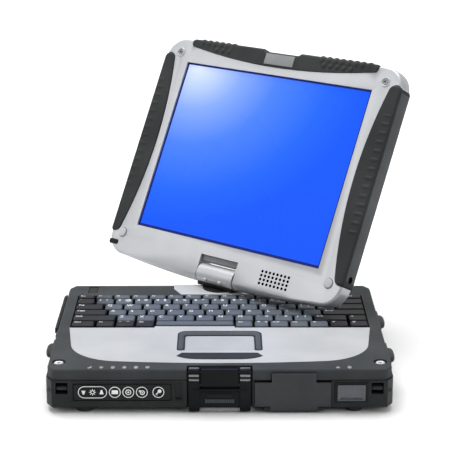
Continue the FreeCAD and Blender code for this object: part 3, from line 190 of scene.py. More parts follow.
class Wire:
    # one output in a node tree; arithmetic on it adds Math nodes
    def __init__(self, tree, socket=None):
        self.tree = tree
        self.socket = socket

    def node(self, kind, settings=None, inputs=None, output=0):
        made = self.tree.nodes.new(kind)
        for name, value in (settings or {}).items():
            if name == "stops":
                setStops(made.color_ramp, value)
            else:
                setattr(made, name, value)
        for name, value in (inputs or {}).items():
            connect(made.inputs[name], value)
        return Wire(self.tree, made.outputs[output])

    def math(self, operation, first, second=0.0):
        return self.node("ShaderNodeMath", {"operation": operation}, {0: first, 1: second})

    def __add__(self, other):
        return self.math("ADD", self, other)

    def __radd__(self, other):
        return self.math("ADD", other, self)

    def __sub__(self, other):
        return self.math("SUBTRACT", self, other)

    def __rsub__(self, other):
        return self.math("SUBTRACT", other, self)

    def __mul__(self, other):
        return self.math("MULTIPLY", self, other)

    def __rmul__(self, other):
        return self.math("MULTIPLY", other, self)

    def __truediv__(self, other):
        return self.math("DIVIDE", self, other)

    def __rtruediv__(self, other):
        return self.math("DIVIDE", other, self)


def connect(socket, value):
    if isinstance(value, Wire):
        value.tree.links.new(value.socket, socket)
    else:
        socket.default_value = value


def setStops(ramp, stops):
    while len(ramp.elements) < len(stops):
        ramp.elements.new(1.0)
    for element, (place, colour) in zip(ramp.elements, stops):
        element.position = place
        element.color = colour


def tone(code):
    # a screen colour as rrggbb becomes linear light
    values = [int(code[start:start + 2], 16) / 255 for start in (0, 2, 4)]
    return tuple(((value + 0.055) / 1.055) ** 2.4 if value > 0.04 else value / 12.92
                 for value in values) + (1.0,)


def newMaterial(name):
    material = bpy.data.materials.new(name)
    material.use_nodes = True
    shader = material.node_tree.nodes["Principled BSDF"]
    place = Wire(material.node_tree).node("ShaderNodeTexCoord", output="Object")
    return material, shader, place


def setShader(shader, values):
    for name, value in values.items():
        connect(shader.inputs[name], value)


def grain(place, size, detail=2.0):
    # noise whose grains are about this many millimetres across
    return place.node("ShaderNodeTexNoise", None,
                      {"Vector": place, "Scale": 1 / (size * mm), "Detail": detail})


def blended(mask, low, high):
    return mask.node("ShaderNodeMix", {"data_type": "RGBA"}, {0: mask, 6: low, 7: high}, 2)


def span(value, low, high):
    # 0 below low, 1 above high, smooth between them
    return value.node("ShaderNodeMapRange", {"interpolation_type": "SMOOTHSTEP"},
                      {"Value": value, "From Min": low, "From Max": high})


def along(place, direction):
    return place.node("ShaderNodeVectorMath", {"operation": "DOT_PRODUCT"},
                      {0: place, 1: tuple(direction)}, "Value")


def bumped(height, depth, strength=1.0):
    return height.node("ShaderNodeBump", None,
                       {"Height": height, "Distance": depth * mm, "Strength": strength})


# plain moulded and painted finishes, a row each: colours of the dark and the light patches,
# roughness and how much it varies, grain size and bump depth in millimetres, metallic share and
# specular level
finishes = {
    "deckPaint": ("36393a", "424546", 0.56, 0.14, 0.45, 0.05, 0.0, 0.06),
    # the lower case has a darker copy of the deck's paint: painted shade
    "caseShadedPaint": ("1d1f20", "27292b", 0.52, 0.14, 0.45, 0.05, 0.0, 0.2),
    "silverPaint": ("b0b2b5", "b7b9bc", 0.36, 0.08, 0.25, 0.01, 0.4, 0.5),
    "palmPaint": ("a9abad", "b4b6b8", 0.55, 0.08, 0.25, 0.01, 0.0, 0.06),
    "platePaint": ("c4c6c8", "d6d8da", 0.3, 0.1, 0.4, 0.006, 0.3, 0.5),
    "knucklePaint": ("b6b8ba", "c4c6c8", 0.4, 0.08, 0.3, 0.008, 0.25, 0.5),
    "gripRubber": ("232526", "303233", 0.62, 0.2, 0.7, 0.09, 0.0, 0.25),
    # a lighter copy of the grip rubber: painted highlight on the grips' outer walls
    "litSideRubber": ("424547", "505355", 0.6, 0.2, 0.7, 0.09, 0.0, 0.25),
    "blackPlastic": ("08090a", "0f1011", 0.45, 0.14, 0.4, 0.03, 0.0, 0.2),
    # black for the seam round the button panel, and painted shade inside holes
    "jointBlackAndHoleShade": ("030303", "080808", 0.75, 0.1, 0.5, 0.03, 0.0, 0.02),
    "doorPlastic": ("242628", "2e3032", 0.52, 0.16, 0.6, 0.07, 0.0, 0.22),
    "batteryPlastic": ("313335", "3c3e40", 0.52, 0.16, 0.6, 0.07, 0.0, 0.22),
    "clickPlastic": ("2c2f32", "373a3d", 0.5, 0.12, 0.4, 0.03, 0.0, 0.04),
    "panelPlastic": ("151617", "1e1f20", 0.48, 0.14, 0.5, 0.04, 0.0, 0.2),
    "latchPlastic": ("16181a", "1f2123", 0.4, 0.16, 0.5, 0.04, 0.0, 0.05),
    "framePlastic": ("464a4d", "52565a", 0.55, 0.12, 0.4, 0.03, 0.0, 0.04),
    # grey for painted highlights on the latch's ridges
    "ridgeHighlightPlastic": ("6d7072", "7f8284", 0.4, 0.12, 0.4, 0.03, 0.0, 0.5),
    "padPlastic": ("a0a4a6", "abafb1", 0.5, 0.1, 0.3, 0.015, 0.0, 0.06),
    "greyRubber": ("b0b2b5", "bcbec1", 0.5, 0.1, 0.4, 0.03, 0.0, 0.4),
    "platePlastic": ("7a7c7e", "8b8d8f", 0.5, 0.12, 0.4, 0.03, 0.0, 0.4),
    "windowPlastic": ("3c4247", "474d53", 0.2, 0.06, 1.5, 0.004, 0.0, 0.6),
    "boardGreen": ("0f3d22", "1a5a33", 0.45, 0.2, 1.2, 0.05, 0.0, 0.5),
    "whitePrint": ("e4e6e8", "f6f8f9", 0.5, 0.1, 0.3, 0.004, 0.0, 0.3),
    "dimPrint": ("7c7e80", "929496", 0.5, 0.1, 0.3, 0.004, 0.0, 0.3),
}
patchSettings = {"cloud": 40.0, "cloudDetail": 4.0, "cloudShare": 0.6, "speckShare": 0.4,
                 "range": (0.35, 0.65)}


def plainFinish(name):
    dark, light, rough, vary, size, bump, metallic, specular = finishes[name]
    facts = patchSettings
    material, shader, place = newMaterial(name)
    speck = grain(place, size)
    cloud = grain(place, facts["cloud"], facts["cloudDetail"])
    patches = span(cloud * facts["cloudShare"] + speck * facts["speckShare"], *facts["range"])
    setShader(shader, {
        "Base Color": blended(patches, tone(dark), tone(light)),
        "Roughness": rough + (speck - 0.5) * vary,
        "Metallic": metallic,
        "Specular IOR Level": specular,
        "Normal": bumped(speck, bump),
    })
    return material


# metals: colours, roughness and how the streaks are drawn out
metals = {
    "hingeMetal": ("b9bbbd", "cfd1d3", 0.24, (1.0, 1.0, 8.0)),
    "screwMetal": ("d6d8da", "f0f2f3", 0.38, (1.0, 1.0, 1.0)),
    "capMetal": ("85878a", "a3a5a8", 0.45, (1.0, 1.0, 1.0)),
    "plainSteel": ("4a4c4f", "66686b", 0.4, (6.0, 1.0, 6.0)),
}
streakSettings = {"streak": 0.9, "stain": 9.0, "detail": 3.0, "range": (0.3, 0.7),
                  "streakRough": 0.1, "stainRough": 0.06, "bump": 0.004, "strength": 0.6}


def brushedMetal(name):
    # fine streaks: the noise is stretched along the directions with a small factor
    dark, light, rough, drawnOut = metals[name]
    facts = streakSettings
    material, shader, place = newMaterial(name)
    drawn = place.node("ShaderNodeMapping", None, {"Vector": place, "Scale": drawnOut})
    streak = grain(drawn, facts["streak"], facts["detail"])
    stain = grain(place, facts["stain"], facts["detail"])
    setShader(shader, {
        "Base Color": blended(span(streak * 0.5 + stain * 0.5, *facts["range"]), tone(dark),
                              tone(light)),
        "Metallic": 1.0,
        "Roughness": (rough + (streak - 0.5) * facts["streakRough"]
                      + (stain - 0.5) * facts["stainRough"]),
        "Normal": bumped(streak, facts["bump"], facts["strength"]),
    })
    return material


capSettings = {
    # colours in the middle of the keyboard and at its ends; the lighter middle is a painted highlight, a
    # reflection of a softbox
    "keyPlastic": ("555c65", "1c1f24"), "darkKeyPlastic": ("171a22", "0a0b11"),
    "skirtShadeTone": "07080a", "skirt": (-1.6, 0.7), "ends": (84, 120), "speck": 0.35,
    "least": 0.85, "speckShare": 0.3, "rough": 0.42, "vary": 0.16, "specular": 0.14, "bump": 0.02,
}


def keyFinish(name):
    # caps with painted shade darkening down their skirts, and a painted highlight, a softbox reflection, lighter
    # in the middle of the keyboard and fading towards both ends
    facts = capSettings
    middleHighlightTone, endTone = (tone(code) for code in facts[name])
    material, shader, place = newMaterial(name)
    speck = grain(place, facts["speck"])
    height = along(place, upward)
    side = along(place, (1, 0, 0)) - float(baseMiddle[0])
    # painted shade: the caps darken from their tops down towards the deck
    lit = span(height, *((deckTop + level) * mm for level in facts["skirt"]))
    # painted highlight: lighter in the middle of the keyboard, fading out towards the ends
    middle = 1 - span(side.math("ABSOLUTE", side), *(end * mm for end in facts["ends"]))
    top = blended(middle, endTone, middleHighlightTone)
    setShader(shader, {
        "Base Color": blended(lit * (facts["least"] + speck * facts["speckShare"]),
                              tone(facts["skirtShadeTone"]), top),
        "Roughness": facts["rough"] + (speck - 0.5) * facts["vary"],
        "Specular IOR Level": facts["specular"],
        "Normal": bumped(speck, facts["bump"]),
    })
    return material


screenSettings = {
    "width": 213.5, "height": 160.8, "bottom": 27.2, "fade": 0.25, "gapShadeTone": "081a66",
    "border": {"left": 2.0, "right": 2.3, "bottom": 2.8, "top": 1.8},
    "reflectionPlace": (-92.0, 186.0), "reflectionReach": (190.0, 150.0), "strength": 0.3,
    "rough": 0.25, "vary": 0.05, "cloud": 60.0, "specular": 0.08,
    # colours going out from the middle of the painted reflection
    "ramp": [(0.0, "c5cff0"), (0.1, "abbcf0"), (0.28, "7393ee"), (0.5, "3f71ee"), (0.8, "1659ea"),
             (1.0, "054de2")],
}


def screenFinish(name):
    # lit panel: deep blue, with a painted reflection of a lamp as a pale patch in its upper left and a painted
    # shadow gap as a dark border
    facts = screenSettings
    material, shader, place = newMaterial(name)
    across = (along(place, lidAcross) - float(lidPivot @ lidAcross)) / mm
    rise = (along(place, lidUp) - float(lidPivot @ lidUp)) / mm
    # painted reflection of a lamp: pale near its middle, deep blue further out
    awayU = (across - facts["reflectionPlace"][0]) / facts["reflectionReach"][0]
    awayV = (rise - facts["reflectionPlace"][1]) / facts["reflectionReach"][1]
    away = across.math("SQRT", awayU * awayU + awayV * awayV)
    stops = [(stop, tone(code)) for stop, code in facts["ramp"]]
    colour = away.node("ShaderNodeValToRGB", {"stops": stops}, {"Fac": away})
    # painted shadow gap: a dark border just inside the panel's edges
    border, fade = facts["border"], facts["fade"]
    left, right = border["left"] - facts["width"] / 2, facts["width"] / 2 - border["right"]
    low = facts["bottom"] + border["bottom"]
    high = facts["bottom"] + facts["height"] - border["top"]
    inside = (span(across, left - fade, left) * (1 - span(across, right, right + fade))
              * span(rise, low - fade, low) * (1 - span(rise, high, high + fade)))
    lit = blended(inside, tone(facts["gapShadeTone"]), colour)
    setShader(shader, {
        "Base Color": lit,
        "Emission Color": lit,
        "Emission Strength": facts["strength"],
        "Roughness": facts["rough"] + grain(place, facts["cloud"]) * facts["vary"],
        "Specular IOR Level": facts["specular"],
    })
    return material


looks = {name: plainFinish(name) for name in finishes}
looks.update({name: brushedMetal(name) for name in metals})
looks.update({name: keyFinish(name) for name in ("keyPlastic", "darkKeyPlastic")})
looks["litScreen"] = screenFinish("litScreen")
print("materials made:", len(looks))

nodeLooks = {
    "deckPaint": ["top_case"],
    # painted shade: the lower case gets the darker copy of the deck's paint
    "caseShadedPaint": ["bottom_case"],
    "silverPaint": ["display_bezel", "display_back"],
    "palmPaint": ["palm_rest"],
    "gripRubber": ["left_grip", "right_grip", "top_grip", "rubber_feet"],
    "greyRubber": ["display_bumpers"],
    "panelPlastic": ["front_button_panel", "card_slot_cover"],
    "latchPlastic": ["display_latch"],
    "blackPlastic": ["strap_bars", "infrared_window", "latch_bracket", "turntable",
                     "keyboard_tray", "side_sockets", "power_inlet", "speaker", "battery_pack",
                     "input_panel_button", "rotate_button", "enter_button", "security_button",
                     "brightness_rocker"],
    "batteryPlastic": ["battery_door"],
    "doorPlastic": ["jack_cover", "network_cover", "serial_cover"],
    "framePlastic": ["touchpad_frame"],
    "clickPlastic": ["left_click_button", "right_click_button"],
    "padPlastic": ["touchpad", "status_lights"],
    "boardGreen": ["main_board", "memory_module", "radio_card", "backlight_inverter"],
    "platePaint": ["swivel_plate"],
    "knucklePaint": ["hinge_knuckle"],
    "hingeMetal": ["heat_spreader", "disk_drive"],
    "screwMetal": ["deck_screws", "display_screws"],
    "plainSteel": ["latch_pin", "battery_door_pin", "cover_pins", "swivel_ring", "tilt_shaft"],
    "keyPlastic": ["function_key_row", "number_key_row", "upper_letter_row", "home_letter_row",
                   "lower_letter_row", "bottom_key_row", "space_bar"],
    "litScreen": ["display_panel", "touch_glass"],
}
lookOf = {node: look for look, members in nodeLooks.items() for node in members}
for node, piece in nodes.items():
    piece.data.materials.clear()
    piece.data.materials.append(looks[lookOf[node]])

# pieces

touching = 1e-6  # metres between points that count as one
smoothAngle = math.radians(35)


def finishPiece(name, mesh, look, carrier, replaced):
    # carrier is the node that the piece sits on or stands for, and gives its body
    mesh.materials.clear()
    mesh.materials.append(looks[look])
    mesh.shade_smooth()
    mesh.set_sharp_from_angle(angle=smoothAngle)
    piece = bpy.data.objects.new(name, mesh)
    bpy.context.scene.collection.objects.link(piece)
    if replaced:
        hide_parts(*replaced)
    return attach(piece, nodeBody[carrier])


def addPiece(name, shape, look, carrier, replaced=()):
    verts, faces = shape
    mesh = bpy.data.meshes.new(name)
    mesh.from_pydata(verts.tolist(), [], [face for part in faces for face in part.tolist()])
    work = bmesh.new()
    work.from_mesh(mesh)
    bmesh.ops.remove_doubles(work, verts=work.verts, dist=2 * touching)
    bmesh.ops.recalc_face_normals(work, faces=work.faces)
    work.to_mesh(mesh)
    work.free()
    finishPiece(name, mesh, look, carrier, replaced)


def mergedCopy(node):
    # the node's own mesh, its loose triangles joined into whole faces
    mesh = nodes[node].data.copy()
    work = bmesh.new()
    work.from_mesh(mesh)
    bmesh.ops.remove_doubles(work, verts=work.verts, dist=touching)
    bmesh.ops.dissolve_limit(work, angle_limit=math.radians(0.2), verts=work.verts,
                             edges=work.edges)
    return mesh, work


def roundEdges(work, edges, width, segments):
    bmesh.ops.bevel(work, geom=edges, offset=width * mm, segments=segments, profile=0.5,
                    affect="EDGES", clamp_overlap=True)


def standIn(node, mesh, work):
    # the reworked copy takes the node's place
    work.to_mesh(mesh)
    work.free()
    return finishPiece(node + "_shell", mesh, lookOf[node], node, [node])


# widths of the rounded edges in millimetres
edgeWidths = {
    "bottom_case": 0.7, "top_case": 0.6, "front_button_panel": 0.3, "display_latch": 0.5,
    "battery_door": 0.45, "touchpad": 0.1, "rubber_feet": 1.2, "swivel_plate": 0.25,
    "turntable": 0.3, "brightness_rocker": 0.25, "display_back": 0.3, "infrared_window": 0.3,
    "hinge_knuckle": 0.6,
}
cornerSettings = {
    "nodes": ["bottom_case", "top_case"], "width": 2.5, "segments": 4,
    # how near an edge is to a wall of the box, and to the corner along the sides and the ends
    "skin": 0.3, "alongSide": 14, "alongEnd": 6.5,
}


def cornerEdges(node, work):
    # upright edges where the cut corners of the base meet its walls
    facts = cornerSettings
    low, high = (np.array(end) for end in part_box(node))
    posts = []
    for edge in work.edges:
        ends = np.array([vert.co for vert in edge.verts])
        side, depth = np.minimum(ends.mean(0) - low, high - ends.mean(0))[:2] / mm
        upright = np.ptp(ends[:, :2], 0).max() < touching and len(edge.link_faces) == 2
        if upright and (side < facts["skin"] and depth < facts["alongSide"]
                        or depth < facts["skin"] and side < facts["alongEnd"]):
            posts.append(edge)
    return posts


def softCopy(node, width):
    # the node's own solid with its sharp edges rounded, those at the base's corners more
    mesh, work = mergedCopy(node)
    if node in cornerSettings["nodes"]:
        roundEdges(work, cornerEdges(node, work), cornerSettings["width"],
                   cornerSettings["segments"])
    piece = standIn(node, mesh, work)
    edges = piece.modifiers.new("edges", "BEVEL")
    edges.width = width * mm
    edges.segments = 2
    edges.limit_method = "ANGLE"
    edges.angle_limit = smoothAngle
    edges.harden_normals = True
    piece.modifiers.new("merge", "WELD").merge_threshold = 2 * touching


for node, width in edgeWidths.items():
    softCopy(node, width)
print("casings rounded:", len(edgeWidths))

# keyboard


keySettings = {
    # widths of the keys of a row, and which of its keys are dark
    "rows": {
        "bottom_key_row": [1.25, 1, 1, 1, 4, 0.95, 0.8, 1, 1, 1, 1, 1],
        "lower_letter_row": [2.25] + [1] * 10 + [1.75, 1],
        "home_letter_row": [1.75] + [1] * 11 + [2.25],
        "upper_letter_row": [1.5] + [1] * 12 + [1.5],
        "number_key_row": [1] * 13 + [2],
        "function_key_row": [1] * 16,
    },
    "dark": {
        "bottom_key_row": [0, 1, 2, 3, 10, 11], "lower_letter_row": [0, 11, 12],
        "home_letter_row": [0, 12], "upper_letter_row": [0, 13], "number_key_row": [0, 13],
        "function_key_row": [0, 13, 14, 15],
    },
    "spaceKey": ("bottom_key_row", 4), "gap": 0.9, "height": 4.0, "corner": 1.3,
    # rings of a cap from its skirt to the middle of its dish: inset and height
    "rings": [(0.0, 0.0), (0.55, 2.7), (0.85, 3.45), (1.3, 3.88), (1.9, 4.0), (3.4, 3.92)],
}


def keyCap(x, y, top):
    # rounded rectangles that draw in as they rise, and sink a little in the middle
    facts = keySettings
    middleX, middleY = (x[0] + x[1]) / 2, (y[0] + y[1]) / 2
    return stacked((x[1] - x[0]) / 2, (y[1] - y[0]) / 2, facts["corner"], facts["rings"],
                   lambda a, b, rise: onBase(middleX + a, middleY + b,
                                             top - facts["height"] + rise), 3)


def keyPlaces(row):
    # left and right edge of each key, and the front and rear edge and top of the row
    low, high = nodeSpan(row)
    shares = np.array(keySettings["rows"][row], float)
    gap = keySettings["gap"]
    edges = np.concatenate([[0.0], np.cumsum(shares) / shares.sum()])
    edges = low[0] - gap / 2 + edges * (high[0] - low[0] + gap)
    spans = np.stack([edges[:-1] + gap / 2, edges[1:] - gap / 2], -1)
    return spans, (low[1], high[1]), high[2]


for row in keySettings["rows"]:
    spans, depth, top = keyPlaces(row)
    caps = {"keyPlastic": [], "darkKeyPlastic": []}
    for index, x in enumerate(spans):
        if (row, index) == keySettings["spaceKey"]:
            spaceLow, spaceHigh = nodeSpan("space_bar")
            addPiece("space_key", keyCap(x, (spaceLow[1], spaceHigh[1]), top), "keyPlastic",
                     "space_bar", ["space_bar"])
        else:
            look = "darkKeyPlastic" if index in keySettings["dark"][row] else "keyPlastic"
            caps[look].append(keyCap(x, depth, top))
    addPiece(row + "_caps", joined(caps["keyPlastic"]), "keyPlastic", row, [row])
    addPiece(row + "_dark_caps", joined(caps["darkKeyPlastic"]), "darkKeyPlastic", row, [row])
print("keys made")

# legends: letters and marks a hair thick on the surface that carries them


def wordShape(text):
    # the built-in typeface, one unit high, as points in a plane with triangles
    curve = bpy.data.curves.new("word", "FONT")
    curve.body = text
    holder = bpy.data.objects.new("word", curve)
    mesh = bpy.data.meshes.new_from_object(holder)
    mesh.calc_loop_triangles()
    verts = np.zeros(len(mesh.vertices) * 3)
    corners = np.zeros(len(mesh.loop_triangles) * 3, int)
    mesh.vertices.foreach_get("co", verts)
    mesh.loop_triangles.foreach_get("vertices", corners)
    bpy.data.objects.remove(holder)
    bpy.data.meshes.remove(mesh)
    bpy.data.curves.remove(curve)
    return verts.reshape(-1, 3)[:, :2], [corners.reshape(-1, 3)]


def flatBand(inner, outer):
    # two closed lines of points joined by quads
    count = len(inner)
    near = np.arange(count)
    after = (near + 1) % count
    quads = np.stack([near, near + count, after + count, after], -1)
    return np.concatenate([inner, outer]), [quads]


def flatPolygon(points):
    return np.array(points, float), [np.arange(len(points))[None]]


def circle(x, y, radius, count):
    angle = np.arange(count) * 2 * math.pi / count
    return np.stack([x + radius * np.cos(angle), y + radius * np.sin(angle)], -1)


def flatRing(x, y, outer, inner, count=32):
    return flatBand(circle(x, y, inner, count), circle(x, y, outer, count))


def flatDisc(x, y, radius, count=20):
    return flatPolygon(circle(x, y, radius, count))


def flatBar(x, y, length, width, turn=0.0):
    # a strip about its middle, turned by degrees
    way = np.array([math.cos(math.radians(turn)), math.sin(math.radians(turn))])
    side = np.array([-way[1], way[0]])
    corners = [(-1, -1), (1, -1), (1, 1), (-1, 1)]
    return flatPolygon([np.array([x, y]) + a * way * length / 2 + b * side * width / 2
                        for a, b in corners])


def flatPill(halfLength, outer, inner, steps=12):
    # a ring stretched along x: two half circles with straight runs between them
    half = np.linspace(-math.pi / 2, math.pi / 2, steps)
    angle = np.concatenate([half, half + math.pi])
    centre = np.repeat([halfLength - outer, -(halfLength - outer)], steps)
    return flatBand(*(np.stack([centre + radius * np.cos(angle), radius * np.sin(angle)], -1)
                      for radius in (inner, outer)))


printRise, printSink = 0.06, -0.15  # heights of a print's top and bottom


def printed(shapes, place):
    # the flat shapes and a sunk copy of them, with walls along the edges that only one face has;
    # place turns the two flat coordinates and a height into points in the frame
    verts, faces = joined(shapes)
    count = len(verts)
    edges = np.concatenate([np.stack([part, np.roll(part, -1, 1)], -1).reshape(-1, 2)
                            for part in faces])
    lone = ~np.isin(edges[:, 0] * count + edges[:, 1], edges[:, 1] * count + edges[:, 0])
    near, after = edges[lone].T
    walls = np.stack([near + count, after + count, after, near], -1)
    sunk = [part[:, ::-1] + count for part in faces]
    points = [place(*verts.T, level) for level in (printRise, printSink)]
    return np.concatenate(points), faces + sunk + [walls]


legendSettings = {
    "bottom_key_row": ["Ctrl", "Fn", "-", "Alt", "", "Alt", "=", "Ctrl", "Ins", "<", "v", ">"],
    "lower_letter_row": ["Shift", *"ZXCVBNM,./", "Shift", "^"],
    "home_letter_row": ["Caps", *"ASDFGHJKL;'", "Enter"],
    "upper_letter_row": ["Tab", *"QWERTYUIOP[]\\"],
    "number_key_row": [*"`1234567890-=", "Back"],
    "function_key_row": ["Esc"] + ["F%d" % key for key in range(1, 13)] + ["Num", "Prt", "Del"],
    "pairs": dict(zip("1234567890-=[];,./", "!@#$%^&*()_+{}:<>?")),
    "letter": 5.2, "word": 3.3, "small": 3.0, "deep": 1.3, "fromLeft": 2.4, "fromTop": 1.9,
    "pairShift": 6.2,
}


def keyLegends(row):
    # letters stand at the upper left of a cap, a second mark to the right of the first
    facts = legendSettings
    spans, depth, top = keyPlaces(row)
    marks = []
    for text, x in zip(facts[row], spans):
        size = facts["letter" if len(text) == 1 else "word"]
        if row == "function_key_row":
            size = facts["small"]
        for place, mark in enumerate([text, facts["pairs"].get(text)]):
            if mark:
                verts, faces = wordShape(mark)
                verts = verts * (size, size * facts["deep"])
                left = x[0] + facts["fromLeft"] + place * facts["pairShift"]
                low = depth[1] - facts["fromTop"] - verts[:, 1].max()
                marks.append((verts + (left, low), faces))
    shape = printed(marks, lambda x, y, rise: onBase(x, y, top + rise))
    addPiece(row + "_legends", shape, "whitePrint", row)


for row in keySettings["rows"]:
    keyLegends(row)
print("legends made")

# front buttons


buttonRing = flatRing(0, 0, 4.55, 4.0)
sunReach = 2.15
sunRays = [flatBar(sunReach * math.cos(turn), sunReach * math.sin(turn), 0.9, 0.5,
                   math.degrees(turn)) for turn in np.arange(8) * math.pi / 4]
# marks drawn about the middle of each button's face
buttonMarks = {
    "brightness_rocker": [
        flatPill(11.3, 4.95, 4.4), flatRing(0, 0, 1.6, 1.0), *sunRays,
        flatPolygon([(-8.6, 1.3), (-7.5, -1.9), (-6.5, -1.9), (-5.4, 1.3)]),
        flatPolygon([(5.4, -1.6), (8.6, -1.6), (7.5, 1.9), (6.5, 1.9)])],
    "input_panel_button": [
        buttonRing, flatPolygon([(-2.5, -1.5), (2.5, -1.5), (2.5, 1.2), (1.9, 1.7), (-1.9, 1.7),
                                 (-2.5, 1.2)])],
    "rotate_button": [buttonRing, flatRing(0, 0, 2.3, 1.65), flatDisc(0, 0, 0.75, 16)],
    "enter_button": [buttonRing, flatRing(0.4, -0.3, 1.9, 1.2, 24), flatBar(-1.3, 0.9, 1.9, 1.5),
                     flatDisc(0.4, -0.3, 0.6, 12)],
    "security_button": [buttonRing, flatDisc(0.9, 0.9, 1.5), flatBar(-0.8, -0.8, 3.4, 0.85, 45),
                        flatBar(-1.3, -1.9, 1.3, 0.7, -45)],
}
for node, marks in buttonMarks.items():
    low, high = nodeSpan(node)
    middle = (low + high) / 2
    shape = printed(marks, lambda a, b, rise: onBase(middle[0] + a, low[1] - rise, middle[2] + b))
    addPiece(node + "_mark", shape, "whitePrint", node)

seamSettings = {"middle": (-75.65, 17.6), "half": (38.25, 7.0), "corner": 1.2, "line": 0.55}


def panelSeam():
    # a section of four points carried once round a rectangle with round corners
    facts = seamSettings
    face = nodeSpan("front_button_panel")[0][1]
    middleX, middleZ = facts["middle"]
    rims = []
    for into, rise in ((0.0, printSink), (0.0, printRise), (facts["line"], printRise),
                       (facts["line"], printSink)):
        x, z = roundedRing(facts["half"][0] - into, facts["half"][1] - into, facts["corner"])
        rims.append(onBase(middleX + x, face - rise, middleZ + z))
    points = np.stack(rims, 1)
    return gridShape(np.concatenate([points, points[:1]]), caps=False)


addPiece("panel_seam", panelSeam(), "jointBlackAndHoleShade", "front_button_panel")
print("front buttons marked")

# grips of the lid


gripSettings = {"front": 9.0, "back": -8.1, "seat": 7.5, "lip": 0.5, "hem": 0.1, "thinnest": 0.02,
                "roundSteps": 6, "flatSteps": 14, "outShare": 0.7}


def gripSection(inner, outer, edge, inset, share, relief, proud=0.0):
    # a section runs up the inner edge, over the front, round the outer edge and along the back;
    # share says how far the front has risen, relief gives the height of what stands on it, and
    # proud pushes the round outer edge out
    facts = gripSettings
    quarter = np.linspace(0, math.pi / 2, facts["roundSteps"])
    width = np.maximum(outer - inner, facts["thinnest"])
    edge = np.minimum(edge, width / 3)
    front = lidFace + (facts["front"] - lidFace) * share
    level = 0 * inner + facts["back"]
    reach = (inner + edge * inset
             + (width - edge * (1 + inset)) * np.linspace(0, 1, facts["flatSteps"]))
    across = [inner, inner + edge * facts["hem"], reach,
              outer - edge + (edge + proud) * np.sin(quarter),
              outer - edge + (edge + proud) * np.cos(quarter), inner + edge * inset, inner]
    out = [0 * inner + facts["seat"], front - facts["lip"], front + relief(reach),
           front - edge + (edge + facts["outShare"] * proud) * np.cos(quarter),
           level + edge - edge * np.sin(quarter), level, level + facts["lip"]]
    return np.concatenate(across, 1), np.concatenate(out, 1)


sideGripSettings = {
    "low": 17.0, "high": 195.3, "outer": 136.3, "edge": 2.0, "inset": 0.4, "ramp": 2.5,
    # middles of the arcs at the ends of the inner edge, and how far the bow reaches past them
    "heel": (132.6, 24.0), "tip": (130.5, 188.3), "endRadius": 7.0, "lap": (1.7, 1.6),
    "chord": (125.8, 123.7), "bow": 10.0, "foot": 2.0, "shoulder": 5.8,
    # ribs: where they start and end, and their two ends' distances from the outer edge
    "ribs": (60.0, 168.0), "ribFade": 2.0, "ribPitch": 8.0, "ribPower": 1.5, "ribHeight": 0.75,
    "ribOuter": (1.6, 2.8), "ribInner": (8.5, 10.0), "stations": 360,
}


def rounding(depth, radius):
    # how far a quarter circle falls back at a depth past its start
    return radius * (1 - np.sqrt(1 - np.clip(depth / radius, 0, 1) ** 2))


def sideGrip(side):
    # sections up the lid: the inner edge bows to the screen as a parabola between two arcs, the
    # outer edge is straight; cosine ribs stand on the front near the outer edge
    facts = sideGripSettings
    low, high, radius, ramp = facts["low"], facts["high"], facts["endRadius"], facts["ramp"]
    turn = np.linspace(0, math.pi, facts["stations"])[:, None]
    v = (low + high) / 2 - (high - low) / 2 * np.cos(turn)
    heelU, heelV = facts["heel"]
    tipU, tipV = facts["tip"]
    start, end = heelV - facts["lap"][0], tipV + facts["lap"][1]
    chordLow, chordHigh = facts["chord"]
    chord = chordLow + (chordHigh - chordLow) * (v - start) / (end - start)
    inner = chord - facts["bow"] * (1 - ((2 * v - start - end) / (end - start)) ** 2)
    heelArc = heelU - np.sqrt(np.maximum(radius ** 2 - (heelV - v) ** 2, 0))
    tipArc = tipU - np.sqrt(np.maximum(radius ** 2 - (v - tipV) ** 2, 0))
    inner = np.where(v < start, heelArc, np.where(v > end, tipArc, inner))
    outer = (facts["outer"] - rounding(low + facts["foot"] - v, facts["foot"])
             - rounding(v - high + facts["shoulder"], facts["shoulder"]))
    fade = facts["ribFade"]
    first, last = facts["ribs"]
    ribs = (easeStep(v, first - fade, first + fade) * (1 - easeStep(v, last - fade, last + fade))
            * np.clip(np.cos(2 * math.pi * v / facts["ribPitch"]), 0, 1) ** facts["ribPower"])

    def relief(reach):
        away = outer - reach
        return facts["ribHeight"] * ribs * (easeStep(away, *facts["ribOuter"])
                                            * (1 - easeStep(away, *facts["ribInner"])))

    share = easeStep(v, low, low + ramp) * (1 - easeStep(v, high - ramp, high))
    u, n = gripSection(inner, outer, facts["edge"], facts["inset"], share, relief)
    return gridShape(onLid(side * u, v + 0 * u, n))


topGripSettings = {
    "reach": 107.5, "top": 211.0, "bottom": 203.6, "bow": 8.8, "bowReach": 105.5, "edge": 2.2,
    "inset": 0.3, "closing": (104.5, 3.0), "least": 0.02, "notch": (18.5, 22.0),
    "notchDepth": 2.3, "stations": 430,
    # knobs along the upper edge: where they start and end, and how they fade down the front
    "bumps": ((-98.0, -54.0), (42.0, 101.0)), "bumpFade": 2.0, "bumpPitch": 7.4, "bumpHeight": 1.0,
    "bumpDown": (8.5, 4.5),
    # rows of round knobs: distance below the top, shift in pitches and furthest place
    "rows": ((3.4, 0.0, 110.0), (8.2, 0.5, 80.0)), "rowEnd": 4.0,
    "knob": [(2.6, -0.4), (2.6, 0.0), (2.2, 0.6), (1.4, 0.95), (0.5, 1.05)],
    "plate": (16.5, 5.0, 0.6, 0.5), "platePlace": (0, 201.8, 9.2),
}


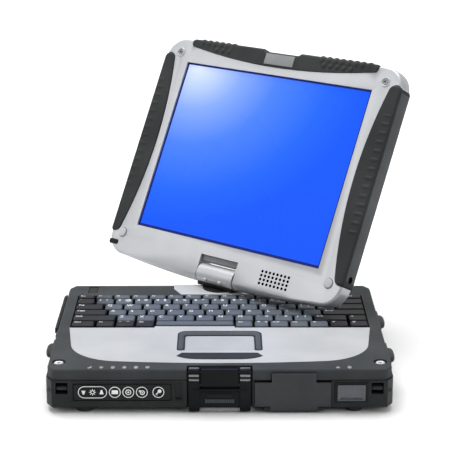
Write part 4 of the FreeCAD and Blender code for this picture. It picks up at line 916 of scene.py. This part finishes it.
def topGrip():
    # sections along the top edge: bowed below, notched in the middle, with a row of cosine knobs
    # on the upper edge at both sides
    facts = topGripSettings
    u = np.linspace(-facts["reach"], facts["reach"], facts["stations"])[:, None]
    knobs = 0 * u
    fade = facts["bumpFade"]
    for start, end in facts["bumps"]:
        wave = 0.5 + 0.5 * np.cos(2 * math.pi * (u - start) / facts["bumpPitch"] + math.pi)
        knobs = knobs + easeStep(u, start, start + fade) * (1 - easeStep(u, end - fade, end)) * wave
    closeFrom, closeLength = facts["closing"]
    closing = np.sqrt(1 - np.clip((np.abs(u) - closeFrom) / closeLength, 0, 1) ** 2)
    bottom = facts["bottom"] - facts["bow"] * (1 - (u / facts["bowReach"]) ** 2)
    top = facts["top"] - facts["notchDepth"] * (1 - easeStep(np.abs(u), *facts["notch"]))
    middle = (top + bottom) / 2
    bottom, top = (middle + (line - middle) * np.maximum(closing, facts["least"])
                   for line in (bottom, top))
    proud = facts["bumpHeight"] * knobs

    def relief(reach):
        return gripSettings["outShare"] * proud * easeStep(top - reach, *facts["bumpDown"])

    v, n = gripSection(bottom, top, facts["edge"], facts["inset"], closing, relief, proud)
    return gridShape(onLid(u + 0 * v, v, n))


def topKnobs():
    facts = topGripSettings
    pitch = facts["bumpPitch"]
    knob = turned(facts["knob"], 14)
    return joined([leaning(knob, u + shift * pitch, facts["top"] - drop, gripSettings["front"])
                   for start, end in facts["bumps"] for drop, shift, furthest in facts["rows"]
                   for u in np.arange(start + pitch / 2, end - facts["rowEnd"], pitch)
                   if abs(u + shift * pitch) < furthest])


# painted highlight: thin lighter strips on the outer walls of the side grips, where light falls on them
sideHighlightSettings = {"half": (0.3, 83.5, 6.4, 0.25), "middle": (106.0, 0.4)}

addPiece("left_grip_ribbed", sideGrip(-1), "gripRubber", "left_grip", ["left_grip"])
addPiece("right_grip_ribbed", sideGrip(1), "gripRubber", "right_grip", ["right_grip"])
highlightStrips = [leaning(pebble(*sideHighlightSettings["half"]), side * sideGripSettings["outer"],
                  *sideHighlightSettings["middle"]) for side in sides]
addPiece("grip_side_highlights", joined(highlightStrips), "litSideRubber", "right_grip")
addPiece("top_grip_knobbed", topGrip(), "gripRubber", "top_grip", ["top_grip"])
addPiece("top_grip_knobs", topKnobs(), "gripRubber", "top_grip")
plate = leaning(pebble(*topGripSettings["plate"]), *topGripSettings["platePlace"])
addPiece("top_grip_plate", plate, "platePlastic", "top_grip")
print("grips made")

# pointing pad


padSettings = {
    "leg": 4.7, "bar": 10.0, "corner": 7.0, "innerCorner": 3.0, "foot": 3.2, "base": 34.4,
    "least": 0.03,
    # across the frame from its inner to its outer edge: share and height
    "profile": [(0.0, 34.5), (0.02, 35.4), (0.08, 35.9), (0.2, 36.25), (0.45, 36.5), (0.65, 36.4),
                (0.85, 36.0), (0.96, 35.7), (1.0, 35.3)],
    "seam": 0.9, "seamRise": 0.05, "seamSink": 0.3, "inset": 0.4,
    # click bars
    "shoulder": 6.5, "slope": 4.3, "bowPower": 5, "gap": 0.2, "tipGap": 0.1, "seamTip": 0.05,
    "top": 35.9, "wall": 0.9, "crown": 0.35, "endRise": 0.3, "floor": 33.0, "seamSteps": 81,
    "sections": 40, "sectionSteps": 14,
}
frameLow, frameHigh = nodeSpan("touchpad_frame")
clickLow, clickHigh = nodeSpan("right_click_button")
clickHalf = clickHigh[0] - padSettings["inset"]
palmTop = nodeSpan("palm_rest")[1][2]


def archPath(half, rear, front, corner, steps=13):
    # up one leg, round a corner, along the bar, round the other corner and down the other leg; the
    # points are closer near the feet
    leg = np.linspace(0, 1, steps)
    turn = np.linspace(0, math.pi / 2, steps)
    left = np.stack([0 * leg - half, front + (rear - corner - front) * leg ** 2], -1)
    bend = np.stack([-half + corner - corner * np.cos(turn),
                     rear - corner + corner * np.sin(turn)], -1)
    bar = np.stack([(half - corner) * (2 * leg - 1), 0 * leg + rear], -1)
    return np.concatenate([left, bend, bar[1:-1], bend[::-1] * (-1, 1), left[::-1] * (-1, 1)])


def padArches(grow):
    # the inner and outer arch of the frame, both moved away from its middle line
    facts = padSettings
    half = frameHigh[0] - facts["inset"] + grow
    rear, front = frameHigh[1] + grow, frameLow[1] - grow
    outer = archPath(half, rear, front, facts["corner"] + grow)
    inner = archPath(half - facts["leg"] - 2 * grow, rear - facts["bar"] - 2 * grow, front,
                     facts["innerCorner"])
    reach = np.clip((outer[:, 1:] - front) / facts["foot"], 0, 1)
    closing = np.maximum(np.sqrt(1 - (1 - reach) ** 2), facts["least"])
    middle = (inner + outer) / 2
    inner, outer = (middle + (edge - middle) * closing for edge in (inner, outer))
    return inner, outer, closing


def padFrame():
    # a raised profile spread between an inner and an outer arch that draw together at round feet
    facts = padSettings
    inner, outer, closing = padArches(0.0)
    share, height = np.array(facts["profile"] + [(1.0, facts["base"]), (0.0, facts["base"])]).T
    flat = inner[:, None] + (outer - inner)[:, None] * share[:, None]
    z = facts["base"] + (height - facts["base"]) * closing
    return gridShape(onBase(flat[..., 0], flat[..., 1], z))


def slab(front, rear):
    # a thin flat slab on the palm rest between two lines of points
    top, bottom = palmTop + padSettings["seamRise"], palmTop - padSettings["seamSink"]
    flat = np.stack([front, rear, rear, front], 1)
    return gridShape(onBase(flat[..., 0], flat[..., 1], np.array([top, top, bottom, bottom])))


def clickEdges(x, grow):
    # the bowed front edge and the rear edge of the click bars, moved out by grow
    facts = padSettings
    half, tip = clickHalf + grow, clickHigh[1] - facts["shoulder"]
    front = tip + (clickLow[1] - grow - tip) * (1 - np.abs(x / half) ** facts["bowPower"])
    rear = tip + (facts["shoulder"] + grow) * np.minimum(1, (half - np.abs(x)) / facts["slope"])
    return front, rear


def clickSeam():
    grow = padSettings["seam"]
    x = (clickHalf + grow - padSettings["seamTip"]) * np.linspace(-1, 1, padSettings["seamSteps"])
    return slab(*(np.stack([x, edge], -1) for edge in clickEdges(x, grow)))


def clickButton(side):
    # half a lens: sections run from the bowed front edge to the rear edge under a low dome
    facts = padSettings
    x = np.linspace(facts["gap"], clickHalf - facts["tipGap"], facts["sections"])[:, None]
    front, rear = clickEdges(x, 0.0)
    across = np.linspace(0, 1, facts["sectionSteps"])
    dome = (1 - (2 * across - 1) ** 4) ** 0.5
    swell = facts["endRise"] + (1 - facts["endRise"]) * np.sqrt(1 - (x / clickHalf) ** 4)
    z = facts["top"] - facts["wall"] + (facts["wall"] + facts["crown"] * dome) * dome * swell
    y = np.concatenate([front + (rear - front) * across, rear, front], 1)
    z = np.concatenate([z, 0 * x + facts["floor"], 0 * x + facts["floor"]], 1)
    return gridShape(onBase(side * x + 0 * y, y, z))


addPiece("pad_seam", slab(*padArches(padSettings["seam"])[:2]), "blackPlastic", "palm_rest")
addPiece("click_seam", clickSeam(), "blackPlastic", "palm_rest")
addPiece("pad_frame", padFrame(), "framePlastic", "touchpad_frame", ["touchpad_frame"])
for name, side in (("left_click", -1), ("right_click", 1)):
    addPiece(name + "_bar", clickButton(side), "clickPlastic", name + "_button", [name + "_button"])
print("pointing pad made")

# lid front and hinge


# faces count as the front or as a wall by how much they face out of the screen
bezelSettings = {"node": "display_bezel", "round": 3.5, "segments": 5, "from": 104, "front": 0.99,
                 "wall": 0.2}


def rimEdges(work):
    # edges between the bezel's front and its outer wall, along both sides and round the corners
    facts = bezelSettings
    edges = []
    for edge in work.edges:
        middle = (np.array(edge.verts[0].co + edge.verts[1].co) / 2 - lidPivot) / mm
        turns = [np.array(face.normal) @ lidOut for face in edge.link_faces]
        rim = (len(turns) == 2 and max(turns) > facts["front"] and abs(min(turns)) < facts["wall"])
        if rim and abs(middle @ lidAcross) > facts["from"]:
            edges.append(edge)
    return edges


bezelMesh, bezelWork = mergedCopy(bezelSettings["node"])
roundEdges(bezelWork, rimEdges(bezelWork), bezelSettings["round"], bezelSettings["segments"])
bmesh.ops.remove_doubles(bezelWork, verts=bezelWork.verts, dist=2 * touching)
standIn(bezelSettings["node"], bezelMesh, bezelWork)

hingeSettings = {
    "bracket": (21.4, 3.1, 6.4, 0.8), "bracketPlace": (0, 13.2, -1.2),
    "lug": (2.3, 1.7, 1.6, 1.2), "lugPlaces": (-10.0, 7.0), "lugOut": 8.6, "lugDrop": 16,
    "base": (20.3, 7.6, 1.7, 0.6), "baseDrop": 7.4,
}
facts = hingeSettings
addPiece("hinge_bracket", leaning(pebble(*facts["bracket"]), *facts["bracketPlace"]),
         "platePlastic", "speaker")
drop = math.radians(facts["lugDrop"])
out = -rearward * math.cos(drop) - upward * math.sin(drop)
lugs = [placed(pebble(*facts["lug"]), lidPivot + (u * lidAcross + facts["lugOut"] * out) * mm,
               lidAcross, np.cross(out, lidAcross), out) for u in facts["lugPlaces"]]
addPiece("knuckle_lugs", joined(lugs), "knucklePaint", "hinge_knuckle")
# a dark block under the knuckle: partly the black turntable's edge, partly painted shadow under the knuckle
base = placed(pebble(*facts["base"]), lidPivot - facts["baseDrop"] * mm * upward, lidAcross,
              rearward, upward)
addPiece("knuckle_base_and_shade", base, "blackPlastic", "turntable")

holeSettings = {
    "middle": (65.0, 8.2), "pitch": (4.2, 3.6), "count": (8, 4), "radius": 1.3,
    "plug": (5.8, 2.6, 2.2, 2.1, 6), "plugPlace": (-128.6, 7.0, 7.0),
    "gripHole": [(2.9, -0.5), (2.9, 0.35), (2.6, 0.45), (2.2, 0.42), (2.0, 0.35)],
    "gripPlace": (24.7, 0.5),
}
facts = holeSettings
columns, lines = ((np.arange(count) - (count - 1) / 2) * pitch + middle for middle, pitch, count
                  in zip(facts["middle"], facts["pitch"], facts["count"]))
# painted shade: black discs over the speaker holes
holes = [flatDisc(u, v, facts["radius"], 16) for u in columns for v in lines]
addPiece("speaker_hole_shades", printed(holes, lambda u, v, rise: onLid(u, v, lidFace + rise)),
         "jointBlackAndHoleShade", "speaker")
addPiece("corner_plug", leaning(pebble(*facts["plug"]), *facts["plugPlace"]), "blackPlastic",
         "speaker")
# painted shade: black cups in the holes at the lower ends of the grips
hole = turned(facts["gripHole"], 28)
holes = [placed(hole, onLid(side * sideGripSettings["outer"], *facts["gripPlace"]), lidUp,
                lidOut * side, lidAcross * side) for side in sides]
addPiece("grip_hole_shades", joined(holes), "jointBlackAndHoleShade", "speaker")
print("lid front made")

# screws and bumpers


screwSettings = {
    # heads: radius, rise and sides of the socket
    "lid": {"places": [(-118.2, 196.5), (118.2, 196.5)], "head": (2.8, 0.7, 6), "seat": 0.2,
            "boss": [(2.9, -0.4), (2.95, 0.7), (3.4, 1.0), (4.0, 0.9), (4.6, 0.2), (4.8, -0.4)]},
    "deck": {"places": [(-126.2, -88.5), (126.2, -88.5)], "head": (4.2, 1.4, 4), "down": 2.0,
             "well": [(4.2, 0.0), (4.2, 0.3), (5.4, 0.4), (5.4, 0.0)], "wellDown": 3.2},
    "corner": {"place": (133.0, -104.0, 18.0), "out": (0.848, -0.53), "head": (2.6, 0.5, 4)},
}


def screwHead(radius, rise, flats):
    # a low cheese head with a socket: profile from the socket's floor out to the underside
    socket = radius * 0.5
    profile = [(socket * 0.9, rise - radius * 0.45), (socket, rise - 0.1), (socket * 1.15, rise),
               (radius * 0.8, rise), (radius, rise - radius * 0.22), (radius, -0.6)]
    return turned(profile, 36, [flats] * 3)


facts = screwSettings["lid"]
heads = spread(screwHead(*facts["head"]), facts["places"], lidFace + facts["seat"])
addPiece("lid_screw_heads", heads, "capMetal", "display_screws", ["display_screws"])
bosses = spread(turned(facts["boss"]), facts["places"], lidFace)
addPiece("lid_screw_bosses", bosses, "silverPaint", "display_bezel")

facts = screwSettings["deck"]
heads = spread(screwHead(*facts["head"]), facts["places"], deckTop - facts["down"], straight)
addPiece("deck_screw_heads", heads, "screwMetal", "deck_screws", ["deck_screws"])
# painted shade: a black ring on the floor of each screw recess
wells = spread(turned(facts["well"], 40), facts["places"], deckTop - facts["wellDown"], straight)
addPiece("deck_screw_well_shades", wells, "blackPlastic", "keyboard_tray")

facts = screwSettings["corner"]
heads = []
for side in sides:
    out = np.array([side * facts["out"][0], facts["out"][1], 0.0])
    heads.append(placed(screwHead(*facts["head"]),
                        onBase(side * facts["place"][0], *facts["place"][1:]),
                        np.cross(out, upward), upward, out))
addPiece("corner_screw_heads", joined(heads), "doorPlastic", "bottom_case")

bumperSettings = {
    "places": [(-121.0, 17.2), (121.0, 17.2)],
    "bumper": [(4.2, -2.0), (4.2, 0.9), (3.8, 1.35), (2.6, 1.5), (1.0, 1.5)],
    "seat": [(4.3, -0.3), (4.3, 0.05), (4.75, 0.05), (4.75, -0.3)],
}
# painted shade: a thin darker ring round each bumper
bumpers, seats = (spread(turned(bumperSettings[name], 40), bumperSettings["places"], lidFace)
                  for name in ("bumper", "seat"))
addPiece("lid_bumpers", bumpers, "greyRubber", "display_bumpers", ["display_bumpers"])
addPiece("bumper_shade_rings", seats, "framePlastic", "display_bumpers")
print("screws and bumpers made")

# small front fittings


def addBlocks(name, look, carrier, blocks, replaced=()):
    # each block has its half sizes, edge radius, place and, if coarser, the steps of its edges
    addPiece(name, joined([block(*facts) for facts in blocks]), look, carrier, replaced)


postMiddle = 19.85  # middle of the posts at both sides of the latch
addBlocks("latch_bay", "blackPlastic", "latch_bracket", [
    ((26.4, 1.2, 14.0), 0.3, (0, -103.4, 18.6)), ((9.6, 0.5, 1.5), 0.3, (0, -108.5, 14.9))])
addBlocks("latch_posts", "latchPlastic", "latch_bracket", [
    *(((4.45, 3.4, 15.75), 1.0, (side * postMiddle, -105.6, 20.45)) for side in sides),
    ((15.9, 2.0, 6.95), 0.7, (0, -106.4, 11.65)),
    *(((4.15, 5.0, 2.1), 0.8, (side * postMiddle, -102.6, 3.3)) for side in sides),
    ((21.4, 0.9, 0.8), 0.7, (0, -108.8, 19.6))], ["latch_bracket"])
addBlocks("latch_teeth", "framePlastic", "latch_bracket", [
    ((0.7, 0.5, 1.6), 0.3, (-10.5 + 1.75 * tooth, -108.4, 10.3), 2) for tooth in range(13)])
# painted highlight: grey ridges on the black latch posts, where glossy plastic catches the light
addBlocks("latch_ridge_highlights", "ridgeHighlightPlastic", "latch_bracket", [
    (half, edge, (side * postMiddle, y, z)) for side in sides for half, edge, y, z in (
        ((3.95, 0.9, 0.8), 0.6, -109.3, 31.6), ((3.95, 0.9, 0.8), 0.6, -109.3, 28.2),
        ((3.95, 0.8, 0.7), 0.5, -104.5, 35.7))])

windowSettings = {
    "place": (102.3, -108.7, 17.4), "half": (10.8, 6.5), "corner": 0.6,
    # rings of the pane: a raised rim, then sides that slope in to a sunk middle
    "rings": [(0.0, 0.0), (0.0, 1.2), (0.2, 1.4), (0.5, 1.4), (2.3, 0.35), (2.6, 0.3)],
}


def windowPane():
    facts = windowSettings
    middleX, face, middleZ = facts["place"]
    return stacked(*facts["half"], facts["corner"], facts["rings"],
                   lambda x, z, out: onBase(middleX + x, face - out, middleZ + z))


addPiece("window_pane", windowPane(), "windowPlastic", "infrared_window")
addBlocks("window_surround", "blackPlastic", "infrared_window", [
    ((13.2, 0.5, 8.4), 0.4, (102.3, -108.2, 17.4))])
addBlocks("strap_rods", "doorPlastic", "strap_bars", [
    ((4.9, 1.8, 1.9), 1.7, (side * 122.6, -105.6, 20.4)) for side in sides], ["strap_bars"])

coverSettings = {
    "face": 136.1, "thick": 1.2, "low": 10.0, "high": 32.0, "edge": 0.8,
    "lumpMiddle": 29.0, "lumpSize": (4.3, 12.5, 3.5), "lumpPower": 0.75,
    # the card cover's rail, and the ribs that stand on it
    "railStart": 14.0, "rail": (0.9, 2.6, 0.6), "railMiddle": 30.4,
    "rib": ((1.2, 1.2, 2.4), 0.6), "ribProud": 0.7, "ribPitch": 4.0, "ribEnds": (1.5, 1.0),
    "ribMiddle": 30.6,
}


def coverPlate(node, side):
    facts = coverSettings
    low, high = nodeSpan(node)
    half = facts["thick"], (high[1] - low[1]) / 2, (facts["high"] - facts["low"]) / 2
    return block(half, facts["edge"], (side * (facts["face"] - facts["thick"]),
                                       (low[1] + high[1]) / 2, (facts["high"] + facts["low"]) / 2))


def coverLump(node, side):
    # a ball stretched three ways, its points raised to a power so that it is fuller than an egg
    facts = coverSettings
    low, high = nodeSpan(node)
    ball, faces = pebble(1.0, 1.0, 1.0, 1.0, 8)
    full = np.sign(ball) * np.abs(ball) ** facts["lumpPower"]
    return straight((full * facts["lumpSize"], faces), side * facts["face"],
                    (low[1] + high[1]) / 2, facts["lumpMiddle"])


def cardRail():
    facts = coverSettings
    low, high = nodeSpan("card_slot_cover")
    start, end = low[1] + facts["railStart"], high[1]
    halfX, halfZ, edge = facts["rail"]
    rail = block((halfX, (end - start) / 2, halfZ), edge,
                 (-facts["face"], (start + end) / 2, facts["railMiddle"]))
    first, last = facts["ribEnds"]
    ribs = [block(*facts["rib"], (-facts["face"] - facts["ribProud"], y, facts["ribMiddle"]), 3)
            for y in np.arange(start + first, end - last, facts["ribPitch"])]
    return [rail] + ribs


for node, side in (("jack_cover", -1), ("network_cover", 1), ("serial_cover", 1)):
    addPiece(node + "_shell", joined([coverPlate(node, side), coverLump(node, side)]),
             lookOf[node], node, [node])
addPiece("card_cover_shell", joined([coverPlate("card_slot_cover", -1)] + cardRail()),
         "blackPlastic", "card_slot_cover", ["card_slot_cover"])

# signs by the status lights, each drawn about zero with its place along the row
lightSettings = {
    "row": -101.0, "deep": 1.9, "signs": [
        (-101.0, [flatBar(0, 0, 3.6, 0.9, 50)]),
        (-92.0, [flatBar(0, 0.9, 2.6, 0.7), flatBar(0, -1.0, 1.0, 1.0)]),
        (-83.0, [flatRing(0, 0, 1.6, 0.9, 20), flatDisc(0, 0, 0.5, 10)]),
        (-74.0, [flatBar(0, 0, 2.4, 2.6)]),
        (-65.0, [flatDisc(0, 0, 1.6)]),
        (-56.0, [flatPolygon([(-1.8, 1.2), (0, -1.7), (1.8, 1.2)])]),
        (92.0, [flatPolygon([(-1.6, -1.2), (1.6, -1.2), (0, 1.6)])]),
        (101.0, [flatRing(0, 0, 1.6, 0.6, 20)]),
    ],
}


def lightMarks():
    # the signs are stretched front to back by the factor deep
    row, deep = lightSettings["row"], lightSettings["deep"]
    marks = [(verts + (x, 0), faces) for x, sign in lightSettings["signs"] for verts, faces in sign]
    return printed(marks, lambda x, y, rise: onBase(x, row + y * deep, deckTop + rise))


addPiece("light_marks", lightMarks(), "dimPrint", "status_lights")
print("front fittings made")

# lid back, rear wall and underside


backSettings = {
    "half": (97.0, 79.0), "middle": 105.0, "corner": 16.0, "face": -8.5,
    # rings of the raised field: inset and rise
    "rings": [(0.0, -0.3), (0.0, 0.05), (1.0, 0.5), (1.8, 0.65), (9.0, 0.65), (10.0, 0.45),
              (11.5, 0.4)],
    "ribs": [(0, 70.0), (0, 105.0), (0, 140.0)], "rib": (62.0, 2.6, 0.6, 0.5), "ribProud": 0.3,
    "screws": [(-114.0, 200.5), (114.0, 200.5), (-112.0, 2.5), (112.0, 2.5), (-44.0, 0.5),
               (44.0, 0.5)],
    "screw": (2.4, 0.5, 6),
}
facts = backSettings
# rounded rectangles that draw in and rise to a flat border round a slightly sunk middle
field = stacked(*facts["half"], facts["corner"], facts["rings"],
                lambda u, v, rise: onLid(u, facts["middle"] + v, facts["face"] - rise), 8, 1.0)
addPiece("back_field", field, "silverPaint", "display_back")
ribs = spread(pebble(*facts["rib"]), facts["ribs"], facts["face"] - facts["ribProud"])
addPiece("back_ribs", ribs, "silverPaint", "display_back")
head = screwHead(*facts["screw"])
heads = [placed(head, onLid(u, v, facts["face"]), -lidAcross, lidUp, -lidOut)
         for u, v in facts["screws"]]
addPiece("back_screws", joined(heads), "screwMetal", "display_screws")

rearWall, floorLevel = 108.0, 4.5
# painted shade: black slabs stand for the vent's openings
addBlocks("rear_vent_shades", "blackPlastic", "keyboard_tray", [
    ((1.2, 0.5, 5.0), 0.4, (x, rearWall, 16.0), 3) for x in np.arange(34.0, 84.0, 4.2)])
addBlocks("rear_cover", "doorPlastic", "keyboard_tray", [
    ((33.0, 1.0, 7.6), 0.8, (-25.0, rearWall, 16.0)),
    ((8.0, 1.3, 1.3), 0.9, (-25.0, rearWall + 0.4, 22.0))])
# painted shade: a black slab stands for the lock slot's opening
addBlocks("rear_lock_slot_shade", "blackPlastic", "keyboard_tray", [
    ((3.6, 0.5, 2.4), 0.4, (112.0, rearWall, 16.0))])

bellySettings = {
    # doors: middle and half sizes
    "doors": [(-62.0, 36.0, 42.0, 26.0), (-22.0, -44.0, 38.0, 40.0), (66.0, 48.0, 34.0, 30.0)],
    "screws": [(-120.0, -70.0), (120.0, -70.0), (-120.0, 64.0), (120.0, 64.0), (0.0, 96.0),
               (24.0, -94.0)],
    "screw": (2.2, 0.4, 4), "screwInset": 4.5, "screwDown": 0.6,
}
facts = bellySettings
addBlocks("belly_doors", "doorPlastic", "bottom_case", [
    ((halfX, halfY, 0.7), 0.5, (x, y, floorLevel)) for x, y, halfX, halfY in facts["doors"]])
doorScrews = [(x + side * (halfX - facts["screwInset"]), y + end * (halfY - facts["screwInset"]))
              for x, y, halfX, halfY in facts["doors"] for side in sides for end in sides]
head = screwHead(*facts["screw"])
heads = [placed(head, onBase(x, y, floorLevel - facts["screwDown"]), (-1, 0, 0), (0, 1, 0),
                (0, 0, -1)) for x, y in facts["screws"] + doorScrews]
addPiece("belly_screws", joined(heads), "plainSteel", "deck_screws")
# painted shade: black slabs stand for the vent's openings
addBlocks("belly_vent_shades", "blackPlastic", "keyboard_tray", [
    ((1.1, 9.0, 0.4), 0.3, (x, 8.0, floorLevel - 0.1), 3) for x in np.arange(30.0, 92.0, 4.0)])
addBlocks("deck_pocket_pads", "blackPlastic", "keyboard_tray", [
    ((3.9, 8.7, 0.5), 0.4, (side * 112.8, 94.0, deckTop - 0.9)) for side in sides])
print("back and underside made")

# floor, light and camera


floorSettings = {"reach": 6.0, "tones": ("f2f2f2", "f6f6f6"), "cloud": 300.0, "rough": 0.8}


def addFloor():
    facts = floorSettings
    corners = [(x * facts["reach"], y * facts["reach"], 0)
               for x, y in ((-1, -1), (1, -1), (1, 1), (-1, 1))]
    mesh = bpy.data.meshes.new("floor")
    mesh.from_pydata(corners, [], [(0, 1, 2, 3)])
    material, shader, place = newMaterial("paleFloor")
    setShader(shader, {"Base Color": blended(grain(place, facts["cloud"]),
                                             *(tone(code) for code in facts["tones"])),
                       "Roughness": facts["rough"]})
    mesh.materials.append(material)
    floor = bpy.data.objects.new("floor", mesh)
    bpy.context.scene.collection.objects.link(floor)


# places in metres, powers in watts, spread in degrees
lights = {
    "topSoftbox": {"place": (-0.2, 0.4, 1.9), "aim": (0.0, 0.0, 0.0), "size": 1.6, "power": 36.0},
    "leftSoftbox": {"place": (-1.9, -0.4, 1.0), "aim": (0.0, 0.0, 0.12), "size": 1.3,
                    "power": 11.0},
    "backdropLight": {"place": (0.0, 4.0, 4.0), "aim": (0.0, 4.01, 0.0), "size": 3.0,
                      "power": 90.0, "spread": 70.0},
    "rightFill": {"place": (1.5, -1.1, 0.7), "aim": (0.0, 0.0, 0.1), "size": 0.9, "power": 8.0},
}
# the surroundings are brighter overhead and behind than in front
worldSettings = {"least": 0.12, "overhead": 0.5, "behind": 0.5, "highest": 0.9, "furthest": 0.8}


def aimed(place, aim):
    # the turn that points a light's -Z from its place to its aim
    way = np.array(aim, float) - np.array(place, float)
    return (math.acos(-way[2] / np.linalg.norm(way)), 0.0,
            math.atan2(way[1], way[0]) - math.pi / 2)


def addLights():
    for name, facts in lights.items():
        data = bpy.data.lights.new(name, "AREA")
        data.size = facts["size"]
        data.energy = facts["power"]
        data.spread = math.radians(facts.get("spread", 180.0))
        lamp = bpy.data.objects.new(name, data)
        lamp.location = facts["place"]
        lamp.rotation_euler = aimed(facts["place"], facts["aim"])
        bpy.context.scene.collection.objects.link(lamp)
    world = bpy.data.worlds.new("studio")
    world.use_nodes = True
    backdrop = world.node_tree.nodes["Background"]
    way = Wire(world.node_tree).node("ShaderNodeTexCoord", output="Generated")
    facts = worldSettings
    overhead = span(along(way, (0, 0, 1)), 0.0, facts["highest"]) * facts["overhead"]
    lit = facts["least"] + overhead
    behind = span(along(way, (0, 1, 0)), 0.0, facts["furthest"]) * facts["behind"]
    connect(backdrop.inputs["Strength"], lit + behind)
    connect(backdrop.inputs["Color"], (1.0, 1.0, 1.0, 1.0))
    bpy.context.scene.world = world


# measured from the middle of the base in millimetres, angles in degrees, focal length in pixels
cameraSettings = {"place": (1.6, -1275.8, 479.6), "down": 15.675, "turn": -0.126, "focal": 1610.0,
                  "frame": 451.0, "sensor": 36.0}


def addCamera():
    facts = cameraSettings
    data = bpy.data.cameras.new("photoCamera")
    data.sensor_fit = "VERTICAL"
    data.sensor_height = facts["sensor"]
    data.lens = facts["focal"] * facts["sensor"] / facts["frame"]
    camera = bpy.data.objects.new("photoCamera", data)
    camera.location = onBase(*facts["place"])
    camera.rotation_euler = (math.radians(90 - facts["down"]), 0.0, math.radians(facts["turn"]))
    bpy.context.scene.collection.objects.link(camera)
    bpy.context.scene.camera = camera
    bpy.context.scene.view_settings.view_transform = "Standard"


addFloor()
addLights()
addCamera()
print("stage set")
